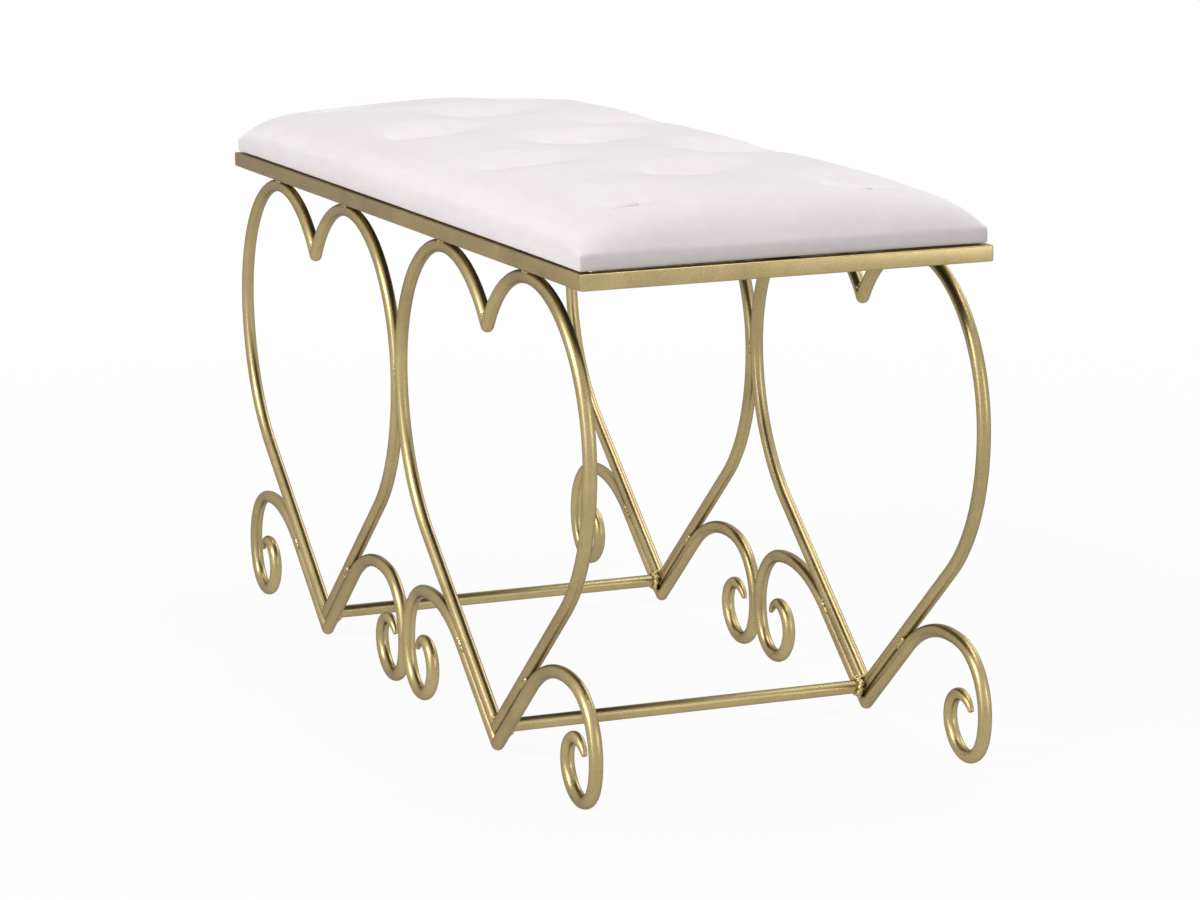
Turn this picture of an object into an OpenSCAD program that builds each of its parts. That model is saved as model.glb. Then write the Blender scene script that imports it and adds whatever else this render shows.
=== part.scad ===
// Upholstered bench: a tufted velvet seat on a square tube frame, carried by two bent-rod
// hearts on each long side, with scrolled rod feet under the hearts and two crossbars.
// X runs along the length, Y from front to back, and Z = 0 is the floor.

/* [Bench] */
// Length over the rails
bench_l = 1000; // [960:1:1060]
// Depth over the rails
bench_w = 365; // [340:1:400]
// Height of the rails' top above the floor
rail_top_z = 450; // [440:1:470]

/* [Rails] */
// Side of the square tube
rail_size = 14; // [12:0.5:18]
// Wall of the tube
rail_wall = 1.2; // [1:0.1:2]
// Outer corner radius of the tube
rail_corner_r = 1.6; // [1:0.1:2.4]

/* [Rods] */
// Diameter of the round rod
rod_d = 12; // [11:0.5:13]
// Gap left at each welded contact
touch_gap = 0.1; // [0.05:0.01:0.2]

/* [Hearts] */
// Radius of the upper lobes, at the rod's middle
lobe_r = 135; // [130:1:140]
// Radius of the lower sides, at the rod's middle
side_r = 170; // [160:1:180]
// Height of the point at the bottom, at the rod's middle
heart_tip_z = 22; // [21.5:0.1:24]

/* [Scroll feet] */
// Turn of the shoulder bend, in degrees
shoulder_sweep = 48; // [44:1:52]
// Radius of the bend at the outer side
outer_r = 56; // [52:1:58]
// Turn of the bend at the outer side, in degrees
outer_sweep = 102; // [98:1:106]
// Radius of the bend that stands on the floor
floor_r = 34; // [32:0.5:36]
// Turn of the bend that stands on the floor, in degrees
floor_sweep = 132; // [128:1:136]
// Radius of the closing curl
curl_r = 22.5; // [21:0.5:24]
// Turn of the closing curl, in degrees
curl_sweep = 176; // [165:1:180]
// Turn over which the end of the curl is drawn down, in degrees
taper_sweep = 120; // [90:5:140]
// Diameter of the drawn end
curl_end_d = 5; // [4:0.5:8]

/* [Welds] */
// Diameter of the beads between rods and rails
bead_d = 12.8; // [12:0.2:15]
// Length of the beads in the grooves between two rods
groove_bead_l = 10; // [6:0.5:14]
// Diameter of the beads round the crossbar ends
crossbar_bead_d = 18.5; // [17:0.5:20]

/* [Seat] */
// Distance from the rails' outer faces to the cushion's outline
cushion_inset = 5; // [4:0.5:8]
// Height of the cushion's crown above the rails
crown_h = 54; // [50:1:60]
// Height of the cushion's side band above the rails
side_band_h = 16; // [14:0.5:20]
// Depth to which the tufts are pulled below the crown
tuft_depth = 14; // [12:0.5:16]
// Spacing of the tuft columns along the length
tuft_pitch = 135; // [125:1:140]
// Distance of the outer tuft rows from the middle
tuft_row_y = 105; // [95:1:110]
// Half the side of the flat at the bottom of each tuft
tuft_r = 12; // [12:0.5:15]
// Amount by which the long and short sides are drawn in
draw_in = 2; // [1:0.5:3]
// Thickness of the velvet and its wadding at the sides
wadding_t = 7; // [6:0.5:9]
// Thickness of the velvet turned under the board
hem_t = 1.2; // [1:0.1:2]
// Width of the velvet turned under the board
hem_w = 20; // [16:1:22]
// Thickness of the plywood board
board_t = 12; // [9:0.5:15]
// Thickness of the foam in its middle
foam_t = 21; // [18:0.5:22]
// Thickness of the foam at its edge
foam_edge_t = 4.5; // [3:0.5:6]
// Width of the foam's bevelled edge
foam_bevel_w = 42; // [35:1:50]
// Thickness of the cloth under the board
dust_cover_t = 0.8; // [0.6:0.1:1]
// Gap between neighbouring soft pieces
soft_gap = 0.3; // [0.2:0.05:0.5]

/* [Buttons] */
// Diameter of the covered buttons
button_d = 20; // [16:0.5:22]
// Height of the buttons' domes
button_h = 5; // [4:0.5:6]
// Diameter of the tufting twine
twine_d = 1.6; // [1.4:0.1:2]
// Diameter of the twine's knots
knot_d = 6; // [5:0.5:8]

/* [Seat fixings] */
// Width of the brackets along the rail
bracket_w = 32; // [26:1:40]
// Reach of the brackets from the rail
bracket_reach = 32; // [31:0.5:36]
// Thickness of the brackets
bracket_t = 3; // [2.5:0.1:4]
// Distance from the middle to the outer brackets along the length
bracket_x = 330; // [300:1:360]
// Diameter of the seat screws' shanks
screw_d = 4; // [3.5:0.1:5]
// Diameter of the seat screws' heads
screw_head_d = 8; // [7:0.1:9]
// Height of the seat screws' heads
screw_head_h = 2.6; // [2:0.1:3]
// Depth of the seat screws in the board
screw_bite = 9; // [7:0.5:9]
// Tacks along each long side
tacks_long = 3; // [3:1:5]
// Diameter of the tacks' shanks
tack_d = 1.6; // [1.4:0.1:2]
// Diameter of the tacks' heads
tack_head_d = 7; // [6:0.1:8]
// Depth of the tacks in the board
tack_bite = 7; // [5:0.5:8]

/* [Hidden] */

LEFT = -1;
RIGHT = 1;
FRONT = -1;
BACK = 1;
GOLD = [0.72, 0.62, 0.40];
VELVET = [0.92, 0.90, 0.91];
ROUND = 48;
THIN = 24;
HOLE_SIDES = 4;
STRANDS = 10;
TAPER_RINGS = 9;

// Frame
rod_plane_y = bench_w / 2 - rail_size / 2;
rail_bottom_z = rail_top_z - rail_size;
rail_inner_y = bench_w / 2 - rail_size;
rail_inner_x = bench_l / 2 - rail_size;

// Hearts: a straight from the tip runs tangent into the side bend, then into the lobe
heart_x = bench_l / 4;
heart_half_w = heart_x - rod_d / 2 - touch_gap / 2;
lobe_x = heart_half_w - lobe_r;
lobe_z = rail_bottom_z - touch_gap - rod_d / 2 - lobe_r;
side_x = heart_half_w - side_r;
side_reach = norm([side_x, lobe_z - heart_tip_z]);
v_angle = atan2(lobe_z - heart_tip_z, side_x) - asin(side_r / side_reach);
v_len = sqrt(side_reach * side_reach - side_r * side_r);
lobe_sweep = 180 - acos(lobe_x / lobe_r);

// Diameter of the cuts that fit weld beads round the rods
cutting_d = rod_d + touch_gap / 2;

// Scroll feet: the straight and the shoulder radius follow from where the scroll has to
// stand on the floor and where it has to meet its neighbour
foot_tip_z = heart_tip_z - (rod_d + touch_gap) / cos(v_angle);
shoulder_dir = v_angle - shoulder_sweep;
outer_dir = shoulder_dir - outer_sweep;
foot_reach = heart_half_w - outer_r * (1 + sin(shoulder_dir));
foot_drop = rod_d / 2 - foot_tip_z - outer_r * (cos(outer_dir) - cos(shoulder_dir))
    + floor_r * (1 + cos(outer_dir));
foot_divisor = cos(shoulder_sweep) - 1;
foot_straight = (foot_reach * (cos(shoulder_dir) - cos(v_angle))
    - foot_drop * (sin(v_angle) - sin(shoulder_dir))) / foot_divisor;
shoulder_r = (cos(v_angle) * foot_drop - sin(v_angle) * foot_reach) / foot_divisor;

// Seat stack, from the rails up
hem_z = rail_top_z + soft_gap;
board_z = hem_z + hem_t + soft_gap;
foam_z = board_z + board_t + soft_gap;
dust_cover_z = hem_z - soft_gap - dust_cover_t;
bracket_z = dust_cover_z - soft_gap - bracket_t;
cushion_half_l = bench_l / 2 - cushion_inset;
cushion_half_w = bench_w / 2 - cushion_inset;
board_l = 2 * (cushion_half_l - wadding_t);
board_w = 2 * (cushion_half_w - wadding_t);
side_band_z = rail_top_z + side_band_h;
crown_z = rail_top_z + crown_h;
tuft_z = crown_z - tuft_depth;
screw_inset = bracket_reach * 0.7;
bracket_spots = [
    [-bracket_x, FRONT], [bracket_x, FRONT], [-bracket_x, BACK], [bracket_x, BACK]
];
tuft_spots = concat(
    [for (column = [-3:2:3], row = [FRONT, BACK]) [column * tuft_pitch, row * tuft_row_y]],
    [for (column = [-2:2:2]) [column * tuft_pitch, 0]]
);

// Value as six digits hold it, and to the thousandth
function six_digits(v) =
    v == 0 ? 0 : let (unit = pow(10, floor(log(abs(v))) - 5)) round(v / unit) * unit;
function thousandths(v) = round(v * 1000) / 1000;

// Move in two steps, a coarse one and its small rest, so that a bend starts exactly on the
// face where the last one ends, even where numbers are kept to six digits
module placed(place) {
    coarse = [for (v = place) six_digits(v)];
    translate(coarse)
        translate(place - coarse)
            children();
}

// A rod runs straight along X and then bends to the left, and each of its bends has a radius
// and a turn: heading before a bend, centre of a bend, and place and heading of the far end
function heading(bends, i) = i == 0 ? 0 : heading(bends, i - 1) + thousandths(bends[i - 1][1]);
function bend_radius(bends, i) = thousandths(bends[i][0]);
function bend_centre(straight, bends, i) =
    i == 0 ? [thousandths(straight), bend_radius(bends, 0), 0] :
        bend_centre(straight, bends, i - 1)
            + (bend_radius(bends, i - 1) - bend_radius(bends, i)) * right_of(heading(bends, i));
function right_of(angle) = [sin(angle), -cos(angle), 0];
module bent_rod(straight, bends, d) {
    rotate([0, 90, 0])
        cylinder(h = thousandths(straight), d = d, $fn = ROUND);
    for (i = [0:len(bends) - 1])
        placed(bend_centre(straight, bends, i))
            rotate_extrude(
                start = heading(bends, i) - 90, angle = thousandths(bends[i][1]), $fn = 2 * ROUND
            )
                translate([bend_radius(bends, i), 0])
                    circle(d = d, $fn = ROUND);
}
module at_rod_end(straight, bends) {
    last = len(bends) - 1;
    way = heading(bends, last + 1);
    placed(bend_centre(straight, bends, last) + bend_radius(bends, last) * right_of(way))
        rotate([0, 0, way])
            children();
}

// Bend whose rod is drawn down to a smaller end, starting a little inside the rod before it
module drawn_bend(radius, sweep, d, end_d) {
    rings = concat([-0.03, 0.02], [for (i = [1:TAPER_RINGS]) i / TAPER_RINGS]);
    points = [
        for (t = rings, side = [0:STRANDS - 1])
            let (
                angle = sweep * t - 90,
                size = (d + (end_d - d) * pow(max(t, 0), 2)) / 2 - 0.02,
                turn = 360 * side / STRANDS,
                out = radius + size * cos(turn)
            )
                [out * cos(angle), radius + out * sin(angle), size * sin(turn)]
    ];
    last = len(rings) - 1;
    skin = [
        for (ring = [0:last - 1], side = [0:STRANDS - 1])
            let (
                a = ring * STRANDS + side,
                b = ring * STRANDS + (side + 1) % STRANDS
            )
                each [[a, b, b + STRANDS], [a, b + STRANDS, a + STRANDS]]
    ];
    caps = [
        [for (side = [STRANDS - 1:-1:0]) side],
        [for (side = [0:STRANDS - 1]) last * STRANDS + side]
    ];
    polyhedron(points, concat(skin, caps), convexity = 4);
}

// Half of the space that a mitred pair of rods shares
module right_of_mitre() {
    translate([touch_gap / 2, -2 * rod_d, 0])
        cube([heart_x + rod_d, 4 * rod_d, rail_top_z]);
}

// The same for the feet, whose tip is ground flat just above the floor
module right_of_ground_mitre() {
    ground_z = foot_tip_z - rod_d / 2;
    rotate([90, 0, 0])
        linear_extrude(4 * rod_d, center = true)
            polygon([
                [touch_gap / 2, ground_z], [2 * rod_d, ground_z], [2 * rod_d, -rod_d],
                [heart_x + rod_d, -rod_d], [heart_x + rod_d, heart_x], [touch_gap / 2, heart_x]
            ]);
}

// Right half of a heart, in the plane y = 0, with its tip above the origin
module half_heart() {
    past_mitre = asin(rod_d / lobe_r);
    intersection() {
        translate([0, 0, heart_tip_z])
            rotate([90, 0, 0])
                rotate([0, 0, v_angle])
                    translate([-rod_d, 0, 0])
                        bent_rod(
                            v_len + rod_d, [[side_r, 90 - v_angle], [lobe_r, lobe_sweep + past_mitre]],
                            rod_d
                        );
        right_of_mitre();
    }
}

// Right half of a scroll foot, in the plane y = 0, running against the heart's side
module half_foot() {
    straight = foot_straight + rod_d;
    bends = [
        [shoulder_r, shoulder_sweep], [outer_r, outer_sweep], [floor_r, floor_sweep],
        [curl_r, curl_sweep - taper_sweep]
    ];
    intersection() {
        translate([0, 0, foot_tip_z])
            rotate([90, 0, 0])
                rotate([0, 0, v_angle])
                    mirror([0, 1, 0])
                        translate([-rod_d, 0, 0]) {
                            bent_rod(straight, bends, rod_d);
                            at_rod_end(straight, bends)
                                drawn_bend(curl_r, taper_sweep, rod_d, curl_end_d);
                        }
        right_of_ground_mitre();
    }
}

// Places a right half at one of the eight places: which long side, which heart, which half
module at_place(long_side, heart, half) {
    translate([heart * heart_x, long_side * rod_plane_y, 0])
        mirror([half == RIGHT ? 0 : 1, 0, 0])
            children();
}

module heart_rod(long_side, heart, half) {
    color(GOLD)
        at_place(long_side, heart, half)
            half_heart();
}

module foot_rod(long_side, heart, half) {
    color(GOLD)
        at_place(long_side, heart, half)
            half_foot();
}

// Square with rounded corners, centred on the origin
module rounded_square(size, corner) {
    square([size, size - 2 * corner], center = true);
    square([size - 2 * corner, size], center = true);
    for (x = [-1, 1], y = [-1, 1])
        translate([x * (size / 2 - corner), y * (size / 2 - corner)])
            circle(r = corner, $fn = THIN);
}

// Rail along X with both ends cut at 45 degrees, its outer face towards -Y
module mitred_rail(length) {
    difference() {
        rotate([90, 0, 90])
            linear_extrude(length, center = true)
                difference() {
                    rounded_square(rail_size, rail_corner_r);
                    rounded_square(rail_size - 2 * rail_wall, rail_corner_r / 2);
                }
        for (end = [LEFT, RIGHT])
            translate([end * (length / 2 - touch_gap / 2), -rail_size / 2, 0])
                rotate([0, 0, 90 - 45 * end])
                    translate([0, -rail_size * 1.5, -rail_size])
                        cube([3 * rail_size, 3 * rail_size, 2 * rail_size]);
    }
}

module long_rail(long_side) {
    color(GOLD)
        translate([0, long_side * rod_plane_y, rail_top_z - rail_size / 2])
            rotate([0, 0, long_side == FRONT ? 0 : 180])
                mitred_rail(bench_l);
}

module end_rail(end) {
    color(GOLD)
        translate([end * (bench_l / 2 - rail_size / 2), 0, rail_top_z - rail_size / 2])
            rotate([0, 0, end * 90])
                mitred_rail(bench_w);
}

module crossbar(heart) {
    reach = rod_plane_y - rod_d / 2 - touch_gap;
    color(GOLD)
        translate([heart * heart_x, -reach, heart_tip_z])
            rotate([-90, 0, 0])
                cylinder(h = 2 * reach, d = rod_d, $fn = ROUND);
}

// Bead along Z that fills the grooves between two rods, which stand on both sides of it in Y
module groove_bead() {
    linear_extrude(groove_bead_l, center = true)
        difference() {
            circle(d = bead_d, $fn = ROUND);
            for (side = [-1, 1])
                translate([0, side * (rod_d + touch_gap) / 2])
                    circle(d = cutting_d, $fn = ROUND);
        }
}

// Beads where the lobes meet the underside of the rails
module rail_welds() {
    color(GOLD)
        for (long_side = [FRONT, BACK], heart = [LEFT, RIGHT], half = [LEFT, RIGHT])
            at_place(long_side, heart, half)
                translate([lobe_x, 0, rail_bottom_z])
                    difference() {
                        sphere(d = bead_d, $fn = THIN);
                        translate([-bead_d, 0, -touch_gap - rod_d / 2])
                            rotate([0, 90, 0])
                                cylinder(h = 2 * bead_d, d = cutting_d, $fn = ROUND);
                        translate([-bead_d, -bead_d, -touch_gap / 4])
                            cube(2 * bead_d);
                    }
}

// Beads where the two hearts of a long side meet
module heart_welds() {
    color(GOLD)
        for (long_side = [FRONT, BACK])
            translate([0, long_side * rod_plane_y, lobe_z])
                rotate([0, 0, 90])
                    groove_bead();
}

// Beads between the feet and their hearts, just before they part
module foot_welds() {
    color(GOLD)
        for (long_side = [FRONT, BACK], heart = [LEFT, RIGHT], half = [LEFT, RIGHT])
            at_place(long_side, heart, half)
                translate([0, 0, foot_tip_z])
                    rotate([90, 0, 0])
                        rotate([0, 0, v_angle])
                            translate([foot_straight - groove_bead_l / 2, (rod_d + touch_gap) / 2, 0])
                                rotate([0, 90, 0])
                                    groove_bead();
}

// Beads round the ends of the crossbars, against the hearts
module crossbar_welds() {
    bore = cutting_d / 2;
    rim = crossbar_bead_d / 2;
    bead_l = rod_d / 2;
    color(GOLD)
        for (long_side = [FRONT, BACK], heart = [LEFT, RIGHT])
            translate([heart * heart_x, long_side * (rod_plane_y - rod_d / 2 - touch_gap), heart_tip_z])
                rotate([long_side * 90, 0, 0])
                    rotate_extrude($fn = ROUND)
                        polygon([
                            [bore, 0], [rim, 0], [rim - 0.1 * bead_l, bead_l * 0.4],
                            [(bore + rim) / 2, bead_l * 0.8], [bore, bead_l]
                        ]);
}

// Places of the seat brackets, each with its reach along +Y
module at_brackets() {
    for (spot = bracket_spots)
        translate([spot[0], spot[1] * rail_inner_y, 0])
            rotate([0, 0, spot[1] == FRONT ? 0 : 180])
                children();
    for (end = [LEFT, RIGHT])
        translate([end * rail_inner_x, 0, 0])
            rotate([0, 0, end * 90])
                children();
}

module at_seat_screws() {
    at_brackets()
        translate([0, screw_inset, 0])
            children();
}

// Tabs on the rails' inner faces that carry the seat's screws
module seat_brackets() {
    chamfer = bracket_w / 5;
    color(GOLD)
        at_brackets()
            translate([0, 0, bracket_z])
                difference() {
                    linear_extrude(bracket_t)
                        polygon([
                            [-bracket_w / 2, touch_gap], [bracket_w / 2, touch_gap],
                            [bracket_w / 2, bracket_reach - chamfer],
                            [bracket_w / 2 - chamfer, bracket_reach],
                            [chamfer - bracket_w / 2, bracket_reach],
                            [-bracket_w / 2, bracket_reach - chamfer]
                        ]);
                    translate([0, screw_inset, -1])
                        cylinder(h = bracket_t + 2, d = screw_d + 0.5, $fn = THIN);
                }
}

module seat_screws() {
    color("silver")
        at_seat_screws()
            translate([0, 0, bracket_z - touch_gap]) {
                cylinder(h = board_z + screw_bite - bracket_z, d = screw_d, $fn = THIN);
                difference() {
                    mirror([0, 0, 1])
                        cylinder(h = screw_head_h, d1 = screw_head_d, d2 = screw_head_d * 0.8, $fn = THIN);
                    for (turn = [0, 90])
                        rotate([0, 0, turn])
                            translate([0, 0, -screw_head_h])
                                cube([screw_head_d / 2, 1, 2], center = true);
                }
            }
}

// Places of the tacks, along the middle of the hem
module at_tacks() {
    inset = wadding_t + hem_w / 2;
    x_end = cushion_half_l - inset;
    y_end = cushion_half_w - inset;
    for (i = [0:tacks_long - 1], row = [FRONT, BACK])
        translate([x_end * (2 * i / (tacks_long - 1) - 1) * 0.93, row * y_end, 0])
            children();
    for (end = [LEFT, RIGHT], row = [FRONT, BACK])
        translate([end * x_end, row * y_end * 0.45, 0])
            children();
}

module dust_cover_tacks() {
    color("dimgray")
        at_tacks()
            translate([0, 0, dust_cover_z - touch_gap]) {
                cylinder(h = board_z + tack_bite - dust_cover_z, d = tack_d, $fn = THIN);
                mirror([0, 0, 1])
                    cylinder(h = 1, d1 = tack_head_d, d2 = tack_head_d * 0.7, $fn = THIN);
            }
}

module tack_holes(from_z, height, sides = THIN) {
    at_tacks()
        translate([0, 0, from_z])
            cylinder(h = height, d = tack_d + 0.4, $fn = sides);
}

module tuft_holes(from_z, height, d, sides = THIN) {
    for (spot = tuft_spots)
        translate([spot[0], spot[1], from_z])
            cylinder(h = height, d = d, $fn = sides);
}

// Board outline grown by a gap on every side
module board_block(grow = 0) {
    translate([0, 0, board_z + board_t / 2])
        cube([board_l + 2 * grow, board_w + 2 * grow, board_t + 2 * grow], center = true);
}

module seat_board() {
    color("burlywood")
        difference() {
            board_block();
            tuft_holes(board_z - 1, board_t + 2, twine_d + 1);
            at_seat_screws()
                translate([0, 0, board_z - 1])
                    cylinder(h = screw_bite + 1.5, d = screw_d + 0.2, $fn = THIN);
            tack_holes(board_z - 1, tack_bite + 1.5);
        }
}

// Side view of the foam, with its bevelled edges, centred and standing on the board
module foam_profile(length, grow) {
    half = length / 2 + grow;
    polygon([
        [-half, -grow], [half, -grow], [half, foam_edge_t + grow],
        [half - foam_bevel_w, foam_t + grow], [foam_bevel_w - half, foam_t + grow],
        [-half, foam_edge_t + grow]
    ]);
}

module foam_block(grow = 0) {
    translate([0, 0, foam_z])
        intersection() {
            rotate([90, 0, 0])
                linear_extrude(board_w + 4 * wadding_t, center = true)
                    foam_profile(board_l, grow);
            rotate([90, 0, 90])
                linear_extrude(board_l + 4 * wadding_t, center = true)
                    foam_profile(board_w, grow);
        }
}

module foam_pad() {
    color("lemonchiffon")
        difference() {
            foam_block();
            tuft_holes(foam_z - 1, foam_t + 2, twine_d + 1);
        }
}

// Lines of the cushion's surface: close together at each tuft and at the edges
function mirrored(half) = concat([for (i = [len(half) - 1:-1:1]) -half[i]], half);
column_lines = [0, tuft_r, 2.4 * tuft_r, tuft_pitch - 2.4 * tuft_r, tuft_pitch - tuft_r];
x_lines = mirrored(concat(
    [for (column = [0:2]) each [for (line = column_lines) column * tuft_pitch + line]],
    [3 * tuft_pitch, 3 * tuft_pitch + tuft_r, 3 * tuft_pitch + 2.4 * tuft_r],
    [cushion_half_l - 30, cushion_half_l - 11, cushion_half_l]
));
y_lines = mirrored([
    0, tuft_r, tuft_row_y / 2, tuft_row_y - tuft_r, tuft_row_y, tuft_row_y + tuft_r,
    cushion_half_w - 30, cushion_half_w - 11, cushion_half_w
]);

// Pull of the nearest tuft, from 1 on its flat, corners and all, down to 0 around it
function pull(x, y) = max([
    for (spot = tuft_spots)
        let (far = (norm([x, y] - spot) / tuft_r - sqrt(2)) / 2)
            far >= 1 ? 0 : far <= 0 ? 1 : (1 + cos(180 * far)) / 2
]);
function crown(x, y) = side_band_z + (crown_z - side_band_z)
    * sqrt(1 - pow(abs(x) / cushion_half_l, 8)) * sqrt(1 - pow(abs(y) / cushion_half_w, 4));
function surface_z(x, y) = crown(x, y) + (tuft_z - crown(x, y)) * pull(x, y);

// Plan place of a surface point, with the sides drawn in between the corners
function drawn_in(x, y) = [
    x - sign(x) * draw_in * pow(x / cushion_half_l, 2) * (1 - pow(y / cushion_half_w, 2)),
    y - sign(y) * draw_in * pow(y / cushion_half_w, 2) * (1 - pow(x / cushion_half_l, 4))
];

// Closed outer form of the cushion: its tufted top, its belly and its turned-under edge
module cushion_form() {
    nx = len(x_lines);
    ny = len(y_lines);
    top = [
        for (y = y_lines, x = x_lines)
            let (place = drawn_in(x, y))
                [place[0], place[1], surface_z(x, y)]
    ];
    rim = concat(
        [for (i = [0:nx - 2]) i], [for (j = [0:ny - 2]) nx - 1 + j * nx],
        [for (i = [nx - 1:-1:1]) i + (ny - 1) * nx], [for (j = [ny - 1:-1:1]) j * nx]
    );
    around = len(rim);
    belly_z = (hem_z + side_band_z) / 2;
    under = 5;
    belly = [for (i = rim) [top[i][0] * 1.001, top[i][1] * 1.003, belly_z]];
    foot = [
        for (i = rim)
            [top[i][0] * (1 - under / cushion_half_l), top[i][1] * (1 - under / cushion_half_w), hem_z]
    ];
    count = nx * ny;
    skin = [
        for (j = [0:ny - 2], i = [0:nx - 2])
            let (
                a = j * nx + i,
                b = a + 1,
                c = a + nx + 1,
                d = a + nx,
                same_signs = (x_lines[i] + x_lines[i + 1]) * (y_lines[j] + y_lines[j + 1]) > 0
            )
                each same_signs ? [[a, c, b], [a, d, c]] : [[a, d, b], [b, d, c]]
    ];
    sides = [
        for (k = [0:around - 1])
            let (
                n = (k + 1) % around,
                b = count + k,
                bn = count + n,
                f = count + around + k,
                fn = count + around + n
            )
                each [
                    [rim[k], rim[n], bn], [rim[k], bn, b],
                    [b, bn, fn], [b, fn, f]
                ]
    ];
    underside = [[for (k = [0:around - 1]) count + around + k]];
    polyhedron(concat(top, belly, foot), concat(skin, sides, underside), convexity = 6);
}

module velvet_cover() {
    color(VELVET)
        difference() {
            cushion_form();
            board_block(soft_gap);
            foam_block(soft_gap);
            translate([0, 0, board_z])
                cube([board_l - 2 * hem_w, board_w - 2 * hem_w, 3 * hem_t], center = true);
            tuft_holes(foam_z, crown_h, twine_d + 1, HOLE_SIDES);
            tack_holes(hem_z - 1, hem_t + 2, HOLE_SIDES);
        }
}

module tuft_buttons() {
    dome_r = (pow(button_d / 2, 2) + pow(button_h, 2)) / (2 * button_h);
    color(VELVET)
        for (spot = tuft_spots)
            translate([spot[0], spot[1], tuft_z + soft_gap])
                intersection() {
                    translate([0, 0, button_h - dome_r])
                        sphere(r = dome_r, $fn = ROUND);
                    cylinder(h = button_h + 1, d = button_d, $fn = ROUND);
                }
}

// Twine from the knot under the board up to each button
module tuft_twines() {
    knot_h = hem_t;
    color("ivory")
        for (spot = tuft_spots)
            translate([spot[0], spot[1], board_z - touch_gap - knot_h]) {
                cylinder(h = knot_h, d = knot_d, $fn = THIN);
                cylinder(h = tuft_z + soft_gap / 2 - board_z + knot_h, d = twine_d, $fn = THIN);
            }
}

module dust_cover() {
    margin = 3;
    color("black")
        difference() {
            translate([0, 0, dust_cover_z + dust_cover_t / 2])
                cube([2 * (rail_inner_x - margin), 2 * (rail_inner_y - margin), dust_cover_t], center = true);
            tack_holes(dust_cover_z - 1, dust_cover_t + 2);
            at_seat_screws()
                translate([0, 0, dust_cover_z - 1])
                    cylinder(h = dust_cover_t + 2, d = screw_d + 0.5, $fn = THIN);
        }
}

long_rail(FRONT);  // front_rail
long_rail(BACK);  // back_rail
end_rail(LEFT);  // left_end_rail
end_rail(RIGHT);  // right_end_rail
heart_rod(FRONT, LEFT, LEFT);  // front_left_heart_outer
heart_rod(FRONT, LEFT, RIGHT);  // front_left_heart_inner
heart_rod(FRONT, RIGHT, LEFT);  // front_right_heart_inner
heart_rod(FRONT, RIGHT, RIGHT);  // front_right_heart_outer
heart_rod(BACK, LEFT, LEFT);  // back_left_heart_outer
heart_rod(BACK, LEFT, RIGHT);  // back_left_heart_inner
heart_rod(BACK, RIGHT, LEFT);  // back_right_heart_inner
heart_rod(BACK, RIGHT, RIGHT);  // back_right_heart_outer
foot_rod(FRONT, LEFT, LEFT);  // front_left_foot_outer
foot_rod(FRONT, LEFT, RIGHT);  // front_left_foot_inner
foot_rod(FRONT, RIGHT, LEFT);  // front_right_foot_inner
foot_rod(FRONT, RIGHT, RIGHT);  // front_right_foot_outer
foot_rod(BACK, LEFT, LEFT);  // back_left_foot_outer
foot_rod(BACK, LEFT, RIGHT);  // back_left_foot_inner
foot_rod(BACK, RIGHT, LEFT);  // back_right_foot_inner
foot_rod(BACK, RIGHT, RIGHT);  // back_right_foot_outer
crossbar(LEFT);  // left_crossbar
crossbar(RIGHT);  // right_crossbar
rail_welds();
heart_welds();
foot_welds();
crossbar_welds();
seat_brackets();
seat_screws();
seat_board();
foam_pad();
velvet_cover();
tuft_buttons();
tuft_twines();
dust_cover();
dust_cover_tacks();
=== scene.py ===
"""Looks of an upholstered bench: a tufted velvet seat on gold heart-shaped rods with scrolled feet.

Lengths are in metres. X runs along the bench, Y from front to back, and Z = 0 is the floor.
"""

import math
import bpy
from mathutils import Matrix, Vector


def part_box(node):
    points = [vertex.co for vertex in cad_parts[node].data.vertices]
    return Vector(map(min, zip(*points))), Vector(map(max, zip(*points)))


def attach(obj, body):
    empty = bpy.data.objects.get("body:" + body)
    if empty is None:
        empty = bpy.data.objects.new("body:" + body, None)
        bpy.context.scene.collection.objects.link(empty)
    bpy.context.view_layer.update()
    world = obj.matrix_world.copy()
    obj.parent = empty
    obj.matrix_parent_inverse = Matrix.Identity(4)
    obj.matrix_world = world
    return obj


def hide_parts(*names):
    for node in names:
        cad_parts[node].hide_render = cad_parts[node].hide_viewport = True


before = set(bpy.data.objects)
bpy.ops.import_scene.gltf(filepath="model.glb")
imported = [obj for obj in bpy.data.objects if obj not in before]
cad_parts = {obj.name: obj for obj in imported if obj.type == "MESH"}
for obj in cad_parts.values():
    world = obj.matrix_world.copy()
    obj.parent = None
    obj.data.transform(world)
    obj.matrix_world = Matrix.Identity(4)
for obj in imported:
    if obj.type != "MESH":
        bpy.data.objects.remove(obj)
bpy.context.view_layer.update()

from types import SimpleNamespace

import bmesh
import bpy
import numpy as np
from bpy.props import FloatProperty, FloatVectorProperty, IntProperty, PointerProperty
from mathutils import Matrix, Vector, noise

bl_info = {
    "name": "Heart bench",
    "version": (1, 0, 0),
    "blender": (4, 5, 0),
    "location": "View3D > Sidebar > Bench",
    "description": "Builds a tufted velvet bench on a gold heart frame",
    "category": "Object",
}

FRONT, BACK = -1, 1
LEFT, RIGHT = -1, 1
SIDES = {FRONT: "front", BACK: "back"}
HEARTS = {LEFT: "left", RIGHT: "right"}


def linear(red, green, blue):
    """A colour of 0 to 255 a channel, as the linear values that a shader takes."""
    return tuple(
        c / 12.92 if c <= 0.04045 else ((c + 0.055) / 1.055) ** 2.4
        for c in (v / 255 for v in (red, green, blue))
    )


def length(label, default, about):
    """A size of the bench, in metres."""
    return FloatProperty(name=label, description=about, default=default, min=0, unit="LENGTH", precision=5)


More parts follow.
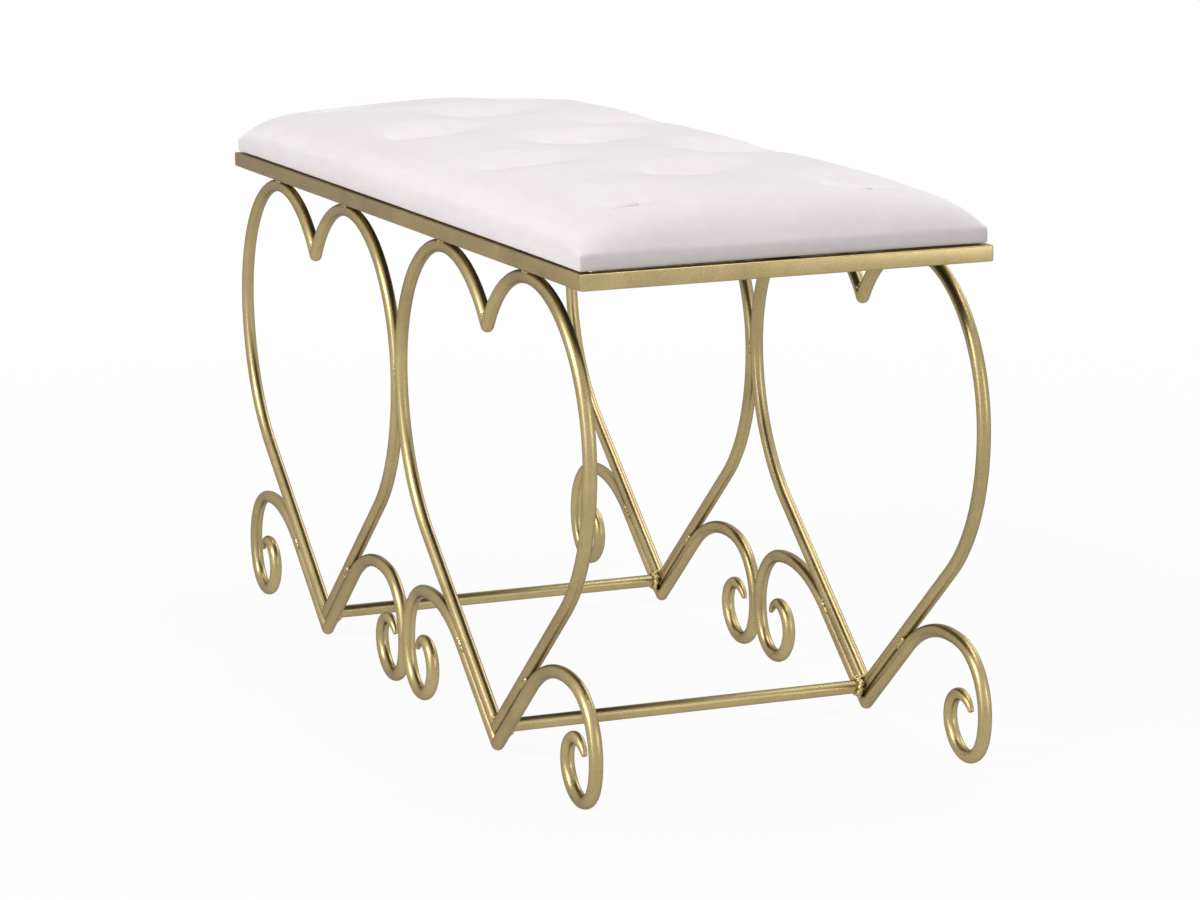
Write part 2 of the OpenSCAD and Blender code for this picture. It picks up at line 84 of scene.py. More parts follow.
def colour(label, default, about):
    """A colour of the bench, in linear values."""
    return FloatVectorProperty(name=label, description=about, default=default, subtype="COLOR", min=0, max=1)


class BenchFrameSizes(bpy.types.PropertyGroup):
    """Sizes of the gold frame"""

    rail_size: length("Rail side", 0.014, "Side of the square tube round the seat")
    rail_round: length("Rail corner", 0.0017, "Radius of the tube's long edges")
    rod_d: length("Rod diameter", 0.012, "Diameter of the hearts' and feet's round rod")
    touch: length("Contact gap", 0.0001, "Gap between pieces that are welded together")
    tip_z: length("Heart tip height", 0.022, "Height of a heart's point at the rod's middle")
    lobe_r: length("Lobe radius", 0.135, "Radius of a heart's upper lobes at the rod's middle")
    side_r: length("Side radius", 0.170, "Radius of a heart's lower sides at the rod's middle")
    outer_r: length("Foot outer radius", 0.056, "Radius of a foot's outer bend")
    floor_r: length("Foot floor radius", 0.034, "Radius of the bend that stands on the floor")
    curl_r: length("Curl radius", 0.0225, "Radius of a foot's closing curl")
    curl_end_d: length("Curl end diameter", 0.005, "Diameter of the rod where a curl ends")
    bead: length("Bead size", 0.0036, "Diameter of one drop of a weld bead")
    collar_bead: length("Collar bead size", 0.0062, "Diameter of one drop round a crossbar's end")


class BenchSeatSizes(bpy.types.PropertyGroup):
    """Sizes of the seat"""

    crown: length("Crown", 0.0487, "Height of the cushion's crown above the rails, before it swells")
    band: length("Side band", 0.0142, "Height of the upright band round the cushion")
    fullness: length("Fullness", 0.0012, "Distance that the velvet stands out beyond the plain cushion")
    front_fullness: length("Front fullness", 0.0030, "Further distance that the front side stands out")
    corner_r: length("Corner radius", 0.003, "Radius of the cushion's upright corners")
    tuft_spread: length("Tuft spread", 0.034, "Distance over which the velvet dips to a tuft")
    tuft_pitch: length("Tuft pitch", 0.135, "Spacing of the tuft columns")
    tuft_row: length("Tuft row", 0.105, "Distance of the outer tuft rows from the middle")
    button_d: length("Button diameter", 0.020, "Diameter of the covered buttons")
    button_h: length("Button height", 0.005, "Height of a button's dome")
    mesh_step: length("Mesh step", 0.005, "Size of the cushion's faces before they are subdivided")
    swell_limit: length("Swelling limit", 0.005, "Furthest that the velvet swells outwards")
    swell_frames: IntProperty(
        name="Swelling frames", description="Frames of the cloth simulation", default=20, min=5, max=40
    )


class BenchColours(bpy.types.PropertyGroup):
    """Colours of the bench"""

    gold: colour("Gold paint", linear(151, 134, 96), "Satin gold paint of the frame")
    gold_flake: colour("Gold flake", linear(206, 188, 136), "Bright flakes in the gold paint")
    velvet: colour("Velvet", linear(224, 214, 217), "Velvet seen straight into its pile")
    velvet_brushed: colour("Brushed velvet", linear(232, 226, 227), "Velvet whose pile lies flat")
    plywood: colour("Plywood", linear(205, 176, 132), "Birch plywood of the seat board")
    twine: colour("Twine", linear(226, 217, 196), "Waxed tufting twine")
    lining: colour("Lining", linear(34, 34, 36), "Thin cloth under the seat")
    steel: colour("Screw steel", linear(190, 192, 196), "Zinc-plated screws")
    tack: colour("Tack steel", linear(62, 64, 70), "Blued upholstery tacks")


# Meshes and pieces

MERGE_GAP = 1e-7


def new_object(name, data):
    """An object at the origin, linked to the scene, that shows the given data."""
    made = bpy.data.objects.new(name, data)
    bpy.context.scene.collection.objects.link(made)
    return made


def face_outwards(mesh, merge=False):
    """Points a mesh's faces outwards, after merging its doubled points where asked."""
    form = bmesh.new()
    form.from_mesh(mesh)
    if merge:
        bmesh.ops.remove_doubles(form, verts=form.verts, dist=MERGE_GAP)
    bmesh.ops.recalc_face_normals(form, faces=form.faces)
    form.to_mesh(mesh)
    form.free()


def mesh_from(name, points, faces):
    """A mesh whose faces all point outwards."""
    mesh = bpy.data.meshes.new(name)
    mesh.from_pydata(points, [], faces)
    face_outwards(mesh, merge=True)
    return mesh


def shade(mesh, angle):
    """Shades a mesh smooth, apart from edges sharper than the angle in degrees."""
    mesh.shade_smooth()
    mesh.set_sharp_from_angle(angle=math.radians(angle))


def made_plain(source, name):
    """Turns an object with its modifiers into a new plain mesh object, and removes the source."""
    bpy.context.view_layer.update()
    evaluated = source.evaluated_get(bpy.context.evaluated_depsgraph_get())
    mesh = bpy.data.meshes.new_from_object(evaluated)
    mesh.name = name
    bpy.data.objects.remove(source)
    return new_object(name, mesh)


def wear(piece, finish):
    """Gives a piece one material."""
    piece.data.materials.clear()
    piece.data.materials.append(finish)


def hand_over(piece, slot, *nodes):
    """Lets a finished piece ride on the bench in place of its CAD nodes."""
    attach(piece, "root")
    if nodes:
        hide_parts(*nodes)


def path_object(name, lines):
    """A curve object of straight-sided lines, each a list of (point, scale of the rod there)."""
    curve = bpy.data.curves.new(name, "CURVE")
    curve.dimensions = "3D"
    for line in lines:
        spline = curve.splines.new("POLY")
        spline.points.add(len(line) - 1)
        for target, (point, scale) in zip(spline.points, line):
            target.co = (*point, 1)
            target.radius = scale
    return new_object(name, curve)


# Node trees

SOCKET_KINDS = {float: "NodeSocketFloat", int: "NodeSocketInt", type(None): "NodeSocketMaterial"}


def built_once(name):
    """Makes a function build its node group at the first call, and give the same group after that."""

    def once(build):
        def group():
            if name not in bpy.data.node_groups:
                build(name)
            return bpy.data.node_groups[name]

        group.__doc__ = build.__doc__
        return group

    return once


def add_inputs(tree, inputs):
    """Gives a node group its named inputs. A value of None makes a material input."""
    for label, value in inputs.items():
        socket = tree.interface.new_socket(label, in_out="INPUT", socket_type=SOCKET_KINDS[type(value)])
        if value is not None:
            socket.default_value = value


def add(tree, kind, inputs=None, **values):
    """Adds a node, with properties by name and unlinked inputs by their label or number."""
    node = tree.nodes.new(kind)
    for key, value in values.items():
        setattr(node, key, value)
    for key, value in (inputs or {}).items():
        node.inputs[key].default_value = value
    return node


def maths(tree, operation, inputs=None, **values):
    """Adds a node that works out a sum."""
    return add(tree, "ShaderNodeMath", inputs, operation=operation, **values)


def map_range(tree, low, high, to_low=0.0, to_high=1.0):
    """Adds a node that spreads the values from low to high over another range."""
    values = {"From Min": low, "From Max": high, "To Min": to_low, "To Max": to_high}
    return add(tree, "ShaderNodeMapRange", values)


def wire(tree, *links):
    """Links sockets by their label or number, each link as (node, output, node, input)."""
    for source, output, target, entry in links:
        tree.links.new(source.outputs[output], target.inputs[entry])


def geometry_tree(name, inputs):
    """A tree with the named inputs, a geometry in and a geometry out, and its two end nodes."""
    tree = bpy.data.node_groups.new(name, "GeometryNodeTree")
    for way in ("INPUT", "OUTPUT"):
        tree.interface.new_socket("Geometry", in_out=way, socket_type="NodeSocketGeometry")
    add_inputs(tree, inputs)
    return tree, add(tree, "NodeGroupInput"), add(tree, "NodeGroupOutput")


def put_out(tree, given, out, *steps):
    """Passes a shape through the steps, gives it the material input and puts it out."""
    paint = add(tree, "GeometryNodeSetMaterial")
    wire(tree, (given, "Material", paint, "Material"))
    way = (*steps, paint, out)
    for source, target in zip(way, way[1:]):
        wire(tree, (source, 0, target, 0))


def shape_by(piece, tree, values):
    """Puts a tree on an object, and sets its named inputs by their identifiers."""
    modifier = piece.modifiers.new(tree.name, "NODES")
    modifier.node_group = tree
    for item in tree.interface.items_tree:
        if item.in_out == "INPUT" and item.name in values:
            modifier[item.identifier] = values[item.name]


@built_once("Rod along a line")
def rod_tree(name):
    """Sweeps a round rod along a line, as thick at each point as the line says."""
    tree, given, out = geometry_tree(name, {"Rod diameter": 0.012, "Sides": 24, "Material": None})
    half = maths(tree, "MULTIPLY", {1: 0.5})
    ring = add(tree, "GeometryNodeCurvePrimitiveCircle")
    scale = add(tree, "GeometryNodeInputRadius")
    sweep = add(tree, "GeometryNodeCurveToMesh", {"Fill Caps": True})
    smooth = add(tree, "GeometryNodeSetShadeSmooth")
    realize = add(tree, "GeometryNodeRealizeInstances")
    wire(
        tree,
        (given, "Rod diameter", half, 0),
        (half, 0, ring, "Radius"),
        (given, "Sides", ring, "Resolution"),
        (given, "Geometry", sweep, "Curve"),
        (ring, "Curve", sweep, "Profile Curve"),
        (scale, 0, sweep, "Scale"),
    )
    put_out(tree, given, out, sweep, smooth, realize)


@built_once("Weld drops")
def bead_tree(name):
    """Lays overlapping drops of weld metal along lines."""
    tree, given, out = geometry_tree(
        name, {"Drop size": 0.003, "Spacing": 0.0015, "Unevenness": 0.25, "Seed": 1, "Material": None}
    )
    points = add(tree, "GeometryNodeCurveToPoints", mode="LENGTH")
    low = maths(tree, "SUBTRACT", {0: 1.0})
    high = maths(tree, "ADD", {0: 1.0})
    scale = add(tree, "FunctionNodeRandomValue", data_type="FLOAT_VECTOR")
    half = maths(tree, "MULTIPLY", {1: 0.5})
    drop = add(tree, "GeometryNodeMeshIcoSphere", {"Subdivisions": 3})
    place = add(tree, "GeometryNodeInstanceOnPoints")
    realize = add(tree, "GeometryNodeRealizeInstances")
    wire(
        tree,
        (given, "Geometry", points, "Curve"),
        (given, "Spacing", points, "Length"),
        (given, "Unevenness", low, 1),
        (given, "Unevenness", high, 1),
        (low, 0, scale, 0),
        (high, 0, scale, 1),
        (given, "Seed", scale, "Seed"),
        (given, "Drop size", half, 0),
        (half, 0, drop, "Radius"),
        (points, "Points", place, "Points"),
        (drop, "Mesh", place, "Instance"),
        (scale, 0, place, "Scale"),
    )
    put_out(tree, given, out, place, realize)


@built_once("Covered buttons")
def button_tree(name):
    """Sets a covered button, a little puckered at its rim, on each point."""
    tree, given, out = geometry_tree(
        name, {"Diameter": 0.02, "Dome height": 0.005, "Pucker": 0.0004, "Seed": 3, "Material": None}
    )
    ball = add(tree, "GeometryNodeMeshUVSphere", {"Segments": 40, "Rings": 20, "Radius": 0.5})
    size = add(tree, "ShaderNodeCombineXYZ")
    double = maths(tree, "MULTIPLY", {1: 2.0})
    squash = add(tree, "GeometryNodeTransform")
    turn = add(tree, "FunctionNodeRandomValue", {"Min": 0.0, "Max": 6.28}, data_type="FLOAT")
    spin = add(tree, "ShaderNodeCombineXYZ")
    place = add(tree, "GeometryNodeInstanceOnPoints")
    realize = add(tree, "GeometryNodeRealizeInstances")
    rough = add(tree, "ShaderNodeTexNoise", {"Scale": 260.0, "Detail": 2.0})
    centred = maths(tree, "SUBTRACT", {1: 0.5})
    amount = maths(tree, "MULTIPLY")
    normal = add(tree, "GeometryNodeInputNormal")
    push = add(tree, "ShaderNodeVectorMath", operation="SCALE")
    move = add(tree, "GeometryNodeSetPosition")
    smooth = add(tree, "GeometryNodeSetShadeSmooth")
    wire(
        tree,
        (given, "Diameter", size, "X"),
        (given, "Diameter", size, "Y"),
        (given, "Dome height", double, 0),
        (double, 0, size, "Z"),
        (ball, "Mesh", squash, "Geometry"),
        (size, 0, squash, "Scale"),
        (given, "Seed", turn, "Seed"),
        (turn, "Value", spin, "Z"),
        (given, "Geometry", place, "Points"),
        (squash, "Geometry", place, "Instance"),
        (spin, 0, place, "Rotation"),
        (rough, 0, centred, 0),
        (centred, 0, amount, 0),
        (given, "Pucker", amount, 1),
        (normal, 0, push, 0),
        (amount, 0, push, "Scale"),
        (push, 0, move, "Offset"),
    )
    put_out(tree, given, out, place, realize, move, smooth)


# Shader groups and materials


def shader_group(name, inputs, outputs):
    """A shader group with named inputs and outputs, its two end nodes and the piece's coordinates."""
    group = bpy.data.node_groups.new(name, "ShaderNodeTree")
    add_inputs(group, inputs)
    for label in outputs:
        group.interface.new_socket(label, in_out="OUTPUT", socket_type="NodeSocketFloat")
    ends = [add(group, kind) for kind in ("NodeGroupInput", "NodeGroupOutput", "ShaderNodeTexCoord")]
    return group, *ends


@built_once("Flaked paint")
def flaked_paint_group(name):
    """Fine metal flakes, soft clouds and orange peel of a sprayed paint."""
    inputs = {"Flake scale": 900.0, "Cloud scale": 14.0, "Flake share": 0.5}
    group, given, out, place = shader_group(name, inputs, ["Flake", "Roughness", "Height"])
    flakes = add(group, "ShaderNodeTexVoronoi", {"Randomness": 1.0}, feature="F1")
    split = add(group, "ShaderNodeSeparateColor")
    bright = map_range(group, 0.35, 1.0)
    shown = maths(group, "MULTIPLY")
    clouds = add(group, "ShaderNodeTexNoise", {"Detail": 3.0, "Roughness": 0.6})
    cloudy = map_range(group, 0.3, 0.7, 0.0, 0.35)
    flake = maths(group, "ADD", use_clamp=True)
    rough = map_range(group, 0.3, 0.7, 0.29, 0.37)
    grit = add(group, "ShaderNodeTexNoise", {"Scale": 700.0, "Detail": 3.0, "Roughness": 0.6})
    wire(
        group,
        *((place, "Object", texture, "Vector") for texture in (flakes, clouds, grit)),
        (given, "Flake scale", flakes, "Scale"),
        (given, "Cloud scale", clouds, "Scale"),
        (flakes, "Color", split, 0),
        (split, 0, bright, "Value"),
        (bright, 0, shown, 0),
        (given, "Flake share", shown, 1),
        (clouds, 0, cloudy, "Value"),
        (shown, 0, flake, 0),
        (cloudy, 0, flake, 1),
        (flake, 0, out, "Flake"),
        (clouds, 0, rough, "Value"),
        (rough, 0, out, "Roughness"),
        (grit, 0, out, "Height"),
    )


@built_once("Velvet pile")
def velvet_pile_group(name):
    """Brushed patches and the short pile of velvet."""
    group, given, out, place = shader_group(
        name, {"Patch scale": 9.0, "Pile scale": 900.0}, ["Brushed", "Height"]
    )
    patches = add(group, "ShaderNodeTexNoise", {"Detail": 4.0, "Roughness": 0.55, "Distortion": 0.6})
    stretch = add(group, "ShaderNodeMapping", {"Scale": (40.0, 120.0, 120.0)})
    strokes = add(group, "ShaderNodeTexNoise", {"Scale": 1.0, "Detail": 3.0, "Roughness": 0.6})
    both = maths(group, "ADD")
    ramp = map_range(group, 0.6, 1.4)
    pile = add(group, "ShaderNodeTexNoise", {"Detail": 2.0, "Roughness": 0.7})
    wire(
        group,
        *((place, "Object", target, "Vector") for target in (patches, stretch, pile)),
        (stretch, 0, strokes, "Vector"),
        (given, "Patch scale", patches, "Scale"),
        (given, "Pile scale", pile, "Scale"),
        (patches, 0, both, 0),
        (strokes, 0, both, 1),
        (both, 0, ramp, "Value"),
        (ramp, 0, out, "Brushed"),
        (pile, 0, out, "Height"),
    )


@built_once("Plain weave")
def weave_group(name):
    """Plain weave of a thin cloth or the lay of a twine."""
    group, given, out, place = shader_group(name, {"Threads per metre": 900.0}, ["Shade", "Height"])
    height = maths(group, "MULTIPLY")
    for entry, direction in enumerate(("X", "Y")):
        threads = add(
            group, "ShaderNodeTexWave", {"Distortion": 0.4, "Detail": 1.0}, bands_direction=direction
        )
        wire(
            group,
            (place, "Object", threads, "Vector"),
            (given, "Threads per metre", threads, "Scale"),
            (threads, "Fac", height, entry),
        )
    slub = add(group, "ShaderNodeTexNoise", {"Scale": 60.0, "Detail": 4.0})
    tone = maths(group, "MULTIPLY")
    wire(
        group,
        (place, "Object", slub, "Vector"),
        (height, 0, tone, 0),
        (slub, 0, tone, 1),
        (tone, 0, out, "Shade"),
        (height, 0, out, "Height"),
    )


@built_once("Long grain")
def grain_group(name):
    """Long streaks, as in planed wood or drawn steel."""
    group, given, out, place = shader_group(name, {"Scale": 1.0}, ["Shade", "Height"])
    stretch = add(group, "ShaderNodeMapping", {"Scale": (8.0, 160.0, 160.0)})
    streaks = add(group, "ShaderNodeTexNoise", {"Detail": 6.0, "Roughness": 0.65, "Distortion": 0.3})
    ramp = map_range(group, 0.3, 0.7)
    wire(
        group,
        (place, "Object", stretch, "Vector"),
        (stretch, 0, streaks, "Vector"),
        (given, "Scale", streaks, "Scale"),
        (streaks, 0, ramp, "Value"),
        (ramp, 0, out, "Shade"),
        (streaks, 0, out, "Height"),
    )


# Plain values that two finishes share
GOLD_METAL = {"Metallic": 1.0, "Specular Tint": (0.48, 0.45, 0.50, 1)}
VELVET_CLOTH = {"Roughness": 0.95, "Specular IOR Level": 0.2, "Sheen Roughness": 0.45}


def times(tone, factor):
    """A colour made lighter or darker, with no channel above 1."""
    return tuple(min(1, v * factor) for v in tone)


def finishes(tones):
    """What each material is made of: its effect, colours, relief and plain values."""
    return {
        "satin_gold": {
            "effect": flaked_paint_group, "values": {"Flake scale": 2200.0, "Flake share": 0.45},
            "mask": "Flake", "dark": tones.gold, "light": tones.gold_flake,
            "strength": 0.02, "depth": 0.0002, "surface": GOLD_METAL,
        },
        "weld_gold": {
            "effect": flaked_paint_group, "values": {"Flake scale": 700.0, "Flake share": 0.8},
            "mask": "Flake", "dark": tones.gold, "light": tones.gold_flake,
            "strength": 0.3, "depth": 0.0006, "surface": GOLD_METAL,
        },
        "pale_velvet": {
            "effect": velvet_pile_group, "values": {},
            "mask": "Brushed", "dark": tones.velvet, "light": tones.velvet_brushed,
            "strength": 0.25, "depth": 0.0004, "surface": {**VELVET_CLOTH, "Sheen Weight": 0.8},
        },
        "button_velvet": {
            "effect": velvet_pile_group, "values": {"Patch scale": 40.0},
            "mask": "Brushed", "dark": tones.velvet, "light": tones.velvet_brushed,
            "strength": 0.25, "depth": 0.0004, "surface": {**VELVET_CLOTH, "Sheen Weight": 0.6},
        },
        "birch_plywood": {
            "effect": grain_group, "values": {},
            "mask": "Shade", "dark": tones.plywood, "light": times(tones.plywood, 1.25),
            "strength": 0.2, "depth": 0.0004, "surface": {"Roughness": 0.7},
        },
        "waxed_twine": {
            "effect": weave_group, "values": {"Threads per metre": 1600.0},
            "mask": "Shade", "dark": times(tones.twine, 0.6), "light": tones.twine,
            "strength": 0.5, "depth": 0.0003, "surface": {"Roughness": 0.8},
        },
        "black_lining": {
            "effect": weave_group, "values": {},
            "mask": "Shade", "dark": tones.lining, "light": times(tones.lining, 2.5),
            "strength": 0.4, "depth": 0.0003, "surface": {"Roughness": 0.95, "Sheen Weight": 0.2},
        },
        "zinc_steel": {
            "effect": grain_group, "values": {"Scale": 6.0},
            "mask": "Shade", "dark": times(tones.steel, 0.7), "light": tones.steel,
            "strength": 0.1, "depth": 0.0002, "surface": {"Metallic": 1.0, "Roughness": 0.35},
        },
        "blued_steel": {
            "effect": grain_group, "values": {"Scale": 8.0},
            "mask": "Shade", "dark": times(tones.tack, 0.7), "light": tones.tack,
            "strength": 0.1, "depth": 0.0002, "surface": {"Metallic": 1.0, "Roughness": 0.4},
        },
    }


def make_material(name, effect, values, mask, dark, light, strength, depth, surface):
    """A material whose colour runs from dark to light by an effect's mask, with the effect's relief."""
    made = bpy.data.materials.new(name)
    made.use_nodes = True
    tree = made.node_tree
    shader = tree.nodes["Principled BSDF"]
    for key, value in surface.items():
        shader.inputs[key].default_value = value
    pattern = add(tree, "ShaderNodeGroup", values, node_tree=effect())
    mix = add(tree, "ShaderNodeMix", {"A": (*dark, 1), "B": (*light, 1)}, data_type="RGBA")
    relief = add(tree, "ShaderNodeBump", {"Strength": strength, "Distance": depth})
    wire(
        tree,
        (pattern, mask, mix, "Factor"),
        (mix, "Result", shader, "Base Color"),
        (pattern, "Height", relief, "Height"),
        (relief, "Normal", shader, "Normal"),
    )
    if "Roughness" in pattern.outputs:
        wire(tree, (pattern, "Roughness", shader, "Roughness"))


def material(name):
    """The bench's material of that name, made at its first use."""
    if name not in bpy.data.materials:
        make_material(name, **finishes(bpy.context.scene.bench_colours)[name])
    return bpy.data.materials[name]


# Lines of the bent rods, each in its own upright plane: across from the heart's middle, and up

# Turns of a foot's four bends, and of the last stretch, over which its rod is drawn thinner
SHOULDER_TURN = math.radians(48)
OUTER_TURN = math.radians(102)
FLOOR_TURN = math.radians(132)
CURL_TURN = math.radians(176)
DRAWN_TURN = math.radians(120)

# Steps along a bend, and parts of a rod
STEP = 0.004
STEP_TURN = math.radians(4)
ROD_SIDES = 24
CROSSBAR_STEPS = 60
ROUND_END_RINGS = 6

# Scale of a rod where its end closes, and the rounding of a cut end
CLOSED = 0.03
CUT_LIP = 0.0007


def frame_lines(sizes):
    """Places and bends that follow from the sizes of the frame."""
    low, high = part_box("front_rail")
    half_gap = sizes.touch / 2
    rail_bottom = low.z
    heart_x = high.x / 2 + half_gap / 2
    half_w = heart_x - sizes.rod_d / 2 - half_gap
    lobe = (half_w - sizes.lobe_r, rail_bottom - sizes.touch - sizes.rod_d / 2 - sizes.lobe_r)
    side_x = half_w - sizes.side_r
    rise = lobe[1] - sizes.tip_z
    reach = math.hypot(side_x, rise)
    slope = math.atan2(rise, side_x) - math.asin(sizes.side_r / reach)
    straight = math.sqrt(reach**2 - sizes.side_r**2)
    lobe_turn = math.pi - math.acos(lobe[0] / sizes.lobe_r)
    foot_tip = sizes.tip_z - (sizes.rod_d + sizes.touch) / math.cos(slope)
    shoulder_way = slope - SHOULDER_TURN
    outer_way = shoulder_way - OUTER_TURN
    foot_reach = half_w - sizes.outer_r * (1 + math.sin(shoulder_way))
    foot_drop = (
        sizes.rod_d / 2 - foot_tip - sizes.outer_r * (math.cos(outer_way) - math.cos(shoulder_way))
        + sizes.floor_r * (1 + math.cos(outer_way))
    )
    share = math.cos(SHOULDER_TURN) - 1
    foot_straight = (
        foot_reach * (math.cos(shoulder_way) - math.cos(slope))
        - foot_drop * (math.sin(slope) - math.sin(shoulder_way))
    ) / share
    shoulder_r = (math.cos(slope) * foot_drop - math.sin(slope) * foot_reach) / share
    return SimpleNamespace(
        heart_x=heart_x,
        plane_y=sum(corner.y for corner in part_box("back_left_heart_outer")) / 2,
        rail_bottom=rail_bottom,
        lobe=lobe,
        slope=slope,
        foot_tip=foot_tip,
        foot_straight=foot_straight,
        heart=[
            ("straight", straight),
            ("bend", sizes.side_r, math.pi / 2 - slope),
            ("bend", sizes.lobe_r, lobe_turn),
        ],
        foot=[
            ("straight", foot_straight),
            ("bend", shoulder_r, -SHOULDER_TURN),
            ("bend", sizes.outer_r, -OUTER_TURN),
            ("bend", sizes.floor_r, -FLOOR_TURN),
            ("bend", sizes.curl_r, -CURL_TURN),
        ],
    )


def ahead_of(way):
    """The unit step in a direction."""
    return np.array([math.cos(way), math.sin(way)])


def left_of(way):
    """The unit step to the left of a direction."""
    return np.array([-math.sin(way), math.cos(way)])


def walk(start, way, moves):
    """Points and headings along straights and bends, from a start in a direction."""
    place = np.array(start, float)
    places, ways = [place.copy()], [way]
    for move in moves:
        if move[0] == "straight":
            count = max(2, round(move[1] / (2 * STEP)))
            for _ in range(count):
                place = place + move[1] / count * ahead_of(way)
                places.append(place.copy())
                ways.append(way)
        else:
            _, radius, turn = move
            count = max(6, round(abs(turn) * radius / STEP), round(abs(turn) / STEP_TURN))
            side = math.copysign(1, turn)
            centre = place + side * radius * left_of(way)
            for _ in range(count):
                way += turn / count
                place = centre - side * radius * left_of(way)
                places.append(place.copy())
                ways.append(way)
    return places, ways


def round_end(place, way, radius):
    """Points of a ball-shaped end beyond the end of a line, from the line outwards."""
    angles = [math.pi / 2 * (i + 1) / ROUND_END_RINGS for i in range(ROUND_END_RINGS)]
    return [
        (place + ahead_of(way) * radius * math.sin(angle), max(CLOSED, math.cos(angle))) for angle in angles
    ]


def heart_line(sizes, lines):
    """Right half of a heart: round at its tip and at its notch."""
    places, ways = walk((0, sizes.tip_z), lines.slope, lines.heart)
    radius = sizes.rod_d / 2
    tip = round_end(places[0], ways[0] + math.pi, radius)
    notch = round_end(places[-1], ways[-1], radius)
    return tip[::-1] + [(place, 1.0) for place in places] + notch


def foot_line(sizes, lines):
    """Right half of a foot: round at its tip, drawn down towards the cut end of its curl."""
    places, ways = walk((0, lines.foot_tip), lines.slope, lines.foot)
    radius = sizes.rod_d / 2
    end_way = ways[-1]
    tip = round_end(places[0], ways[0] + math.pi, radius)
    body = []
    for place, way in zip(places, ways):
        share = max(0, 1 - (way - end_way) / DRAWN_TURN)
        body.append((place, 1 + (sizes.curl_end_d / sizes.rod_d - 1) * share**2))
    last, scale = body.pop()
    lip = ahead_of(end_way) * CUT_LIP
    cut = [
        (last - lip, scale),
        (last - lip * 0.3, scale - 0.3 * CUT_LIP / radius),
        (last, scale - CUT_LIP / radius),
        (last + lip * 0.1, CLOSED),
    ]
    return tip[::-1] + body[:-1] + cut


def swept_rod(node, line, sizes):
    """A painted rod along one line, in place of its CAD node."""
    name = node + "_rod"
    gold = material("satin_gold")
    path = path_object(name + "_path", [line])
    shape_by(path, rod_tree(), {"Rod diameter": sizes.rod_d, "Sides": ROD_SIDES, "Material": gold})
    piece = made_plain(path, name)
    face_outwards(piece.data)
    shade(piece.data, 50)
    wear(piece, gold)
    hand_over(piece, "gold_frame", node)


def halves(kind, line, sizes, lines):
    """Sweeps a rod along a half's line at each of its eight places on the bench."""
    for side, side_name in SIDES.items():
        for heart, heart_name in HEARTS.items():
            for half in (LEFT, RIGHT):
                place = "outer" if half == heart else "inner"
                placed = [
                    ((heart * lines.heart_x + half * across, side * lines.plane_y, up), scale)
                    for (across, up), scale in line
                ]
                swept_rod(f"{side_name}_{heart_name}_{kind}_{place}", placed, sizes)


# Weld beads

# Points along the beads of the rods' sides, of the hearts' notches and of their tips
WELD_RUN = (-0.006, 0, 0.006)
NOTCH_RUN = (-0.004, 0, 0.004)
TIP_RUN = (-0.0035, 0, 0.0035)

# Where the beads lie: off the middle of the groove between two rods, below a rail, back from the end
# of a foot's straight, in a notch, over a tip, and round a crossbar
GROOVE_SHARE = 0.60
RAIL_WELD_SINK = 0.0014
FOOT_WELD_BACK = 0.005
NOTCH_SINK = 0.0005
TIP_LIFT = 0.0006
COLLAR_R = 0.0076
COLLAR_WOBBLE = 0.0010
COLLAR_GAP = 0.0026
COLLAR_STEP = 12
BEAD_VOXEL = 0.0006


def beads(name, strips, nodes, drop, spacing, unevenness, seed):
    """Weld beads along strips, run together into one lumpy skin."""
    gold = material("weld_gold")
    path = path_object(name + "_path", [[(point, 1.0) for point in strip] for strip in strips])
    shape_by(
        path, bead_tree(),
        {"Drop size": drop, "Spacing": spacing, "Unevenness": unevenness, "Seed": seed, "Material": gold},
    )
    drops = made_plain(path, name + "_drops")
    skin = drops.modifiers.new("run together", "REMESH")
    skin.mode = "VOXEL"
    skin.voxel_size = BEAD_VOXEL
    soften = drops.modifiers.new("soften", "SMOOTH")
    soften.iterations = 2
    soften.factor = 0.5
    piece = made_plain(drops, name)
    shade(piece.data, 180)
    wear(piece, gold)
    hand_over(piece, "gold_frame", *nodes)


# Cushion

# Lines of faces along the cushion's edge, by their distance in from it
EDGE_WIDTH = 0.013
EDGE_LINES = (0.0095, 0.0065, 0.0040, 0.0020, 0.0007, 0.0)

# The crown's rise at an end in two parts, each as (its share, the distance over which it rises)
CROWN_RISES = ((0.68, 0.015), (0.32, 0.055))

# Shape of the crown's long sides, of the dips to the buttons and of the sides, pulled in between corners
LONG_SIDE_POWER = 5.5
BUTTON_HOLD = 0.8
BUTTON_SINK = 0.0006
DIP_POWER = 0.9
SIDE_PULL = 0.002
RIM_HOLD = 0.8
MIDDLE_FULLNESS = 0.6

# Each ring down the cushion's side and under it: height above the rails, distance in, and how firmly held
SIDE_RINGS = (
    (0.0120, -0.0001, 0.9), (0.0095, -0.0002, 1.0), (0.0065, -0.0002, 1.0), (0.0042, -0.0001, 1.0),
    (0.0026, 0.0001, 1.0), (0.0017, 0.0007, 1.0), (0.0013, 0.0024, 1.0), (0.0013, 0.0100, 1.0),
    (0.0003, 0.0115, 1.0),
)

# How the velvet behaves while it swells, and how its movement is then evened out
CLOTH = {
    "quality": 6,
    "mass": 0.3,
    "tension_stiffness": 12,
    "compression_stiffness": 12,
    "shear_stiffness": 4,
    "bending_stiffness": 2,
    "use_pressure": True,
    "uniform_pressure_force": 4,
    "shrink_min": -0.004,
    "vertex_group_mass": "held",
}
EVENING_ROUNDS = 30
FIRM = 0.99

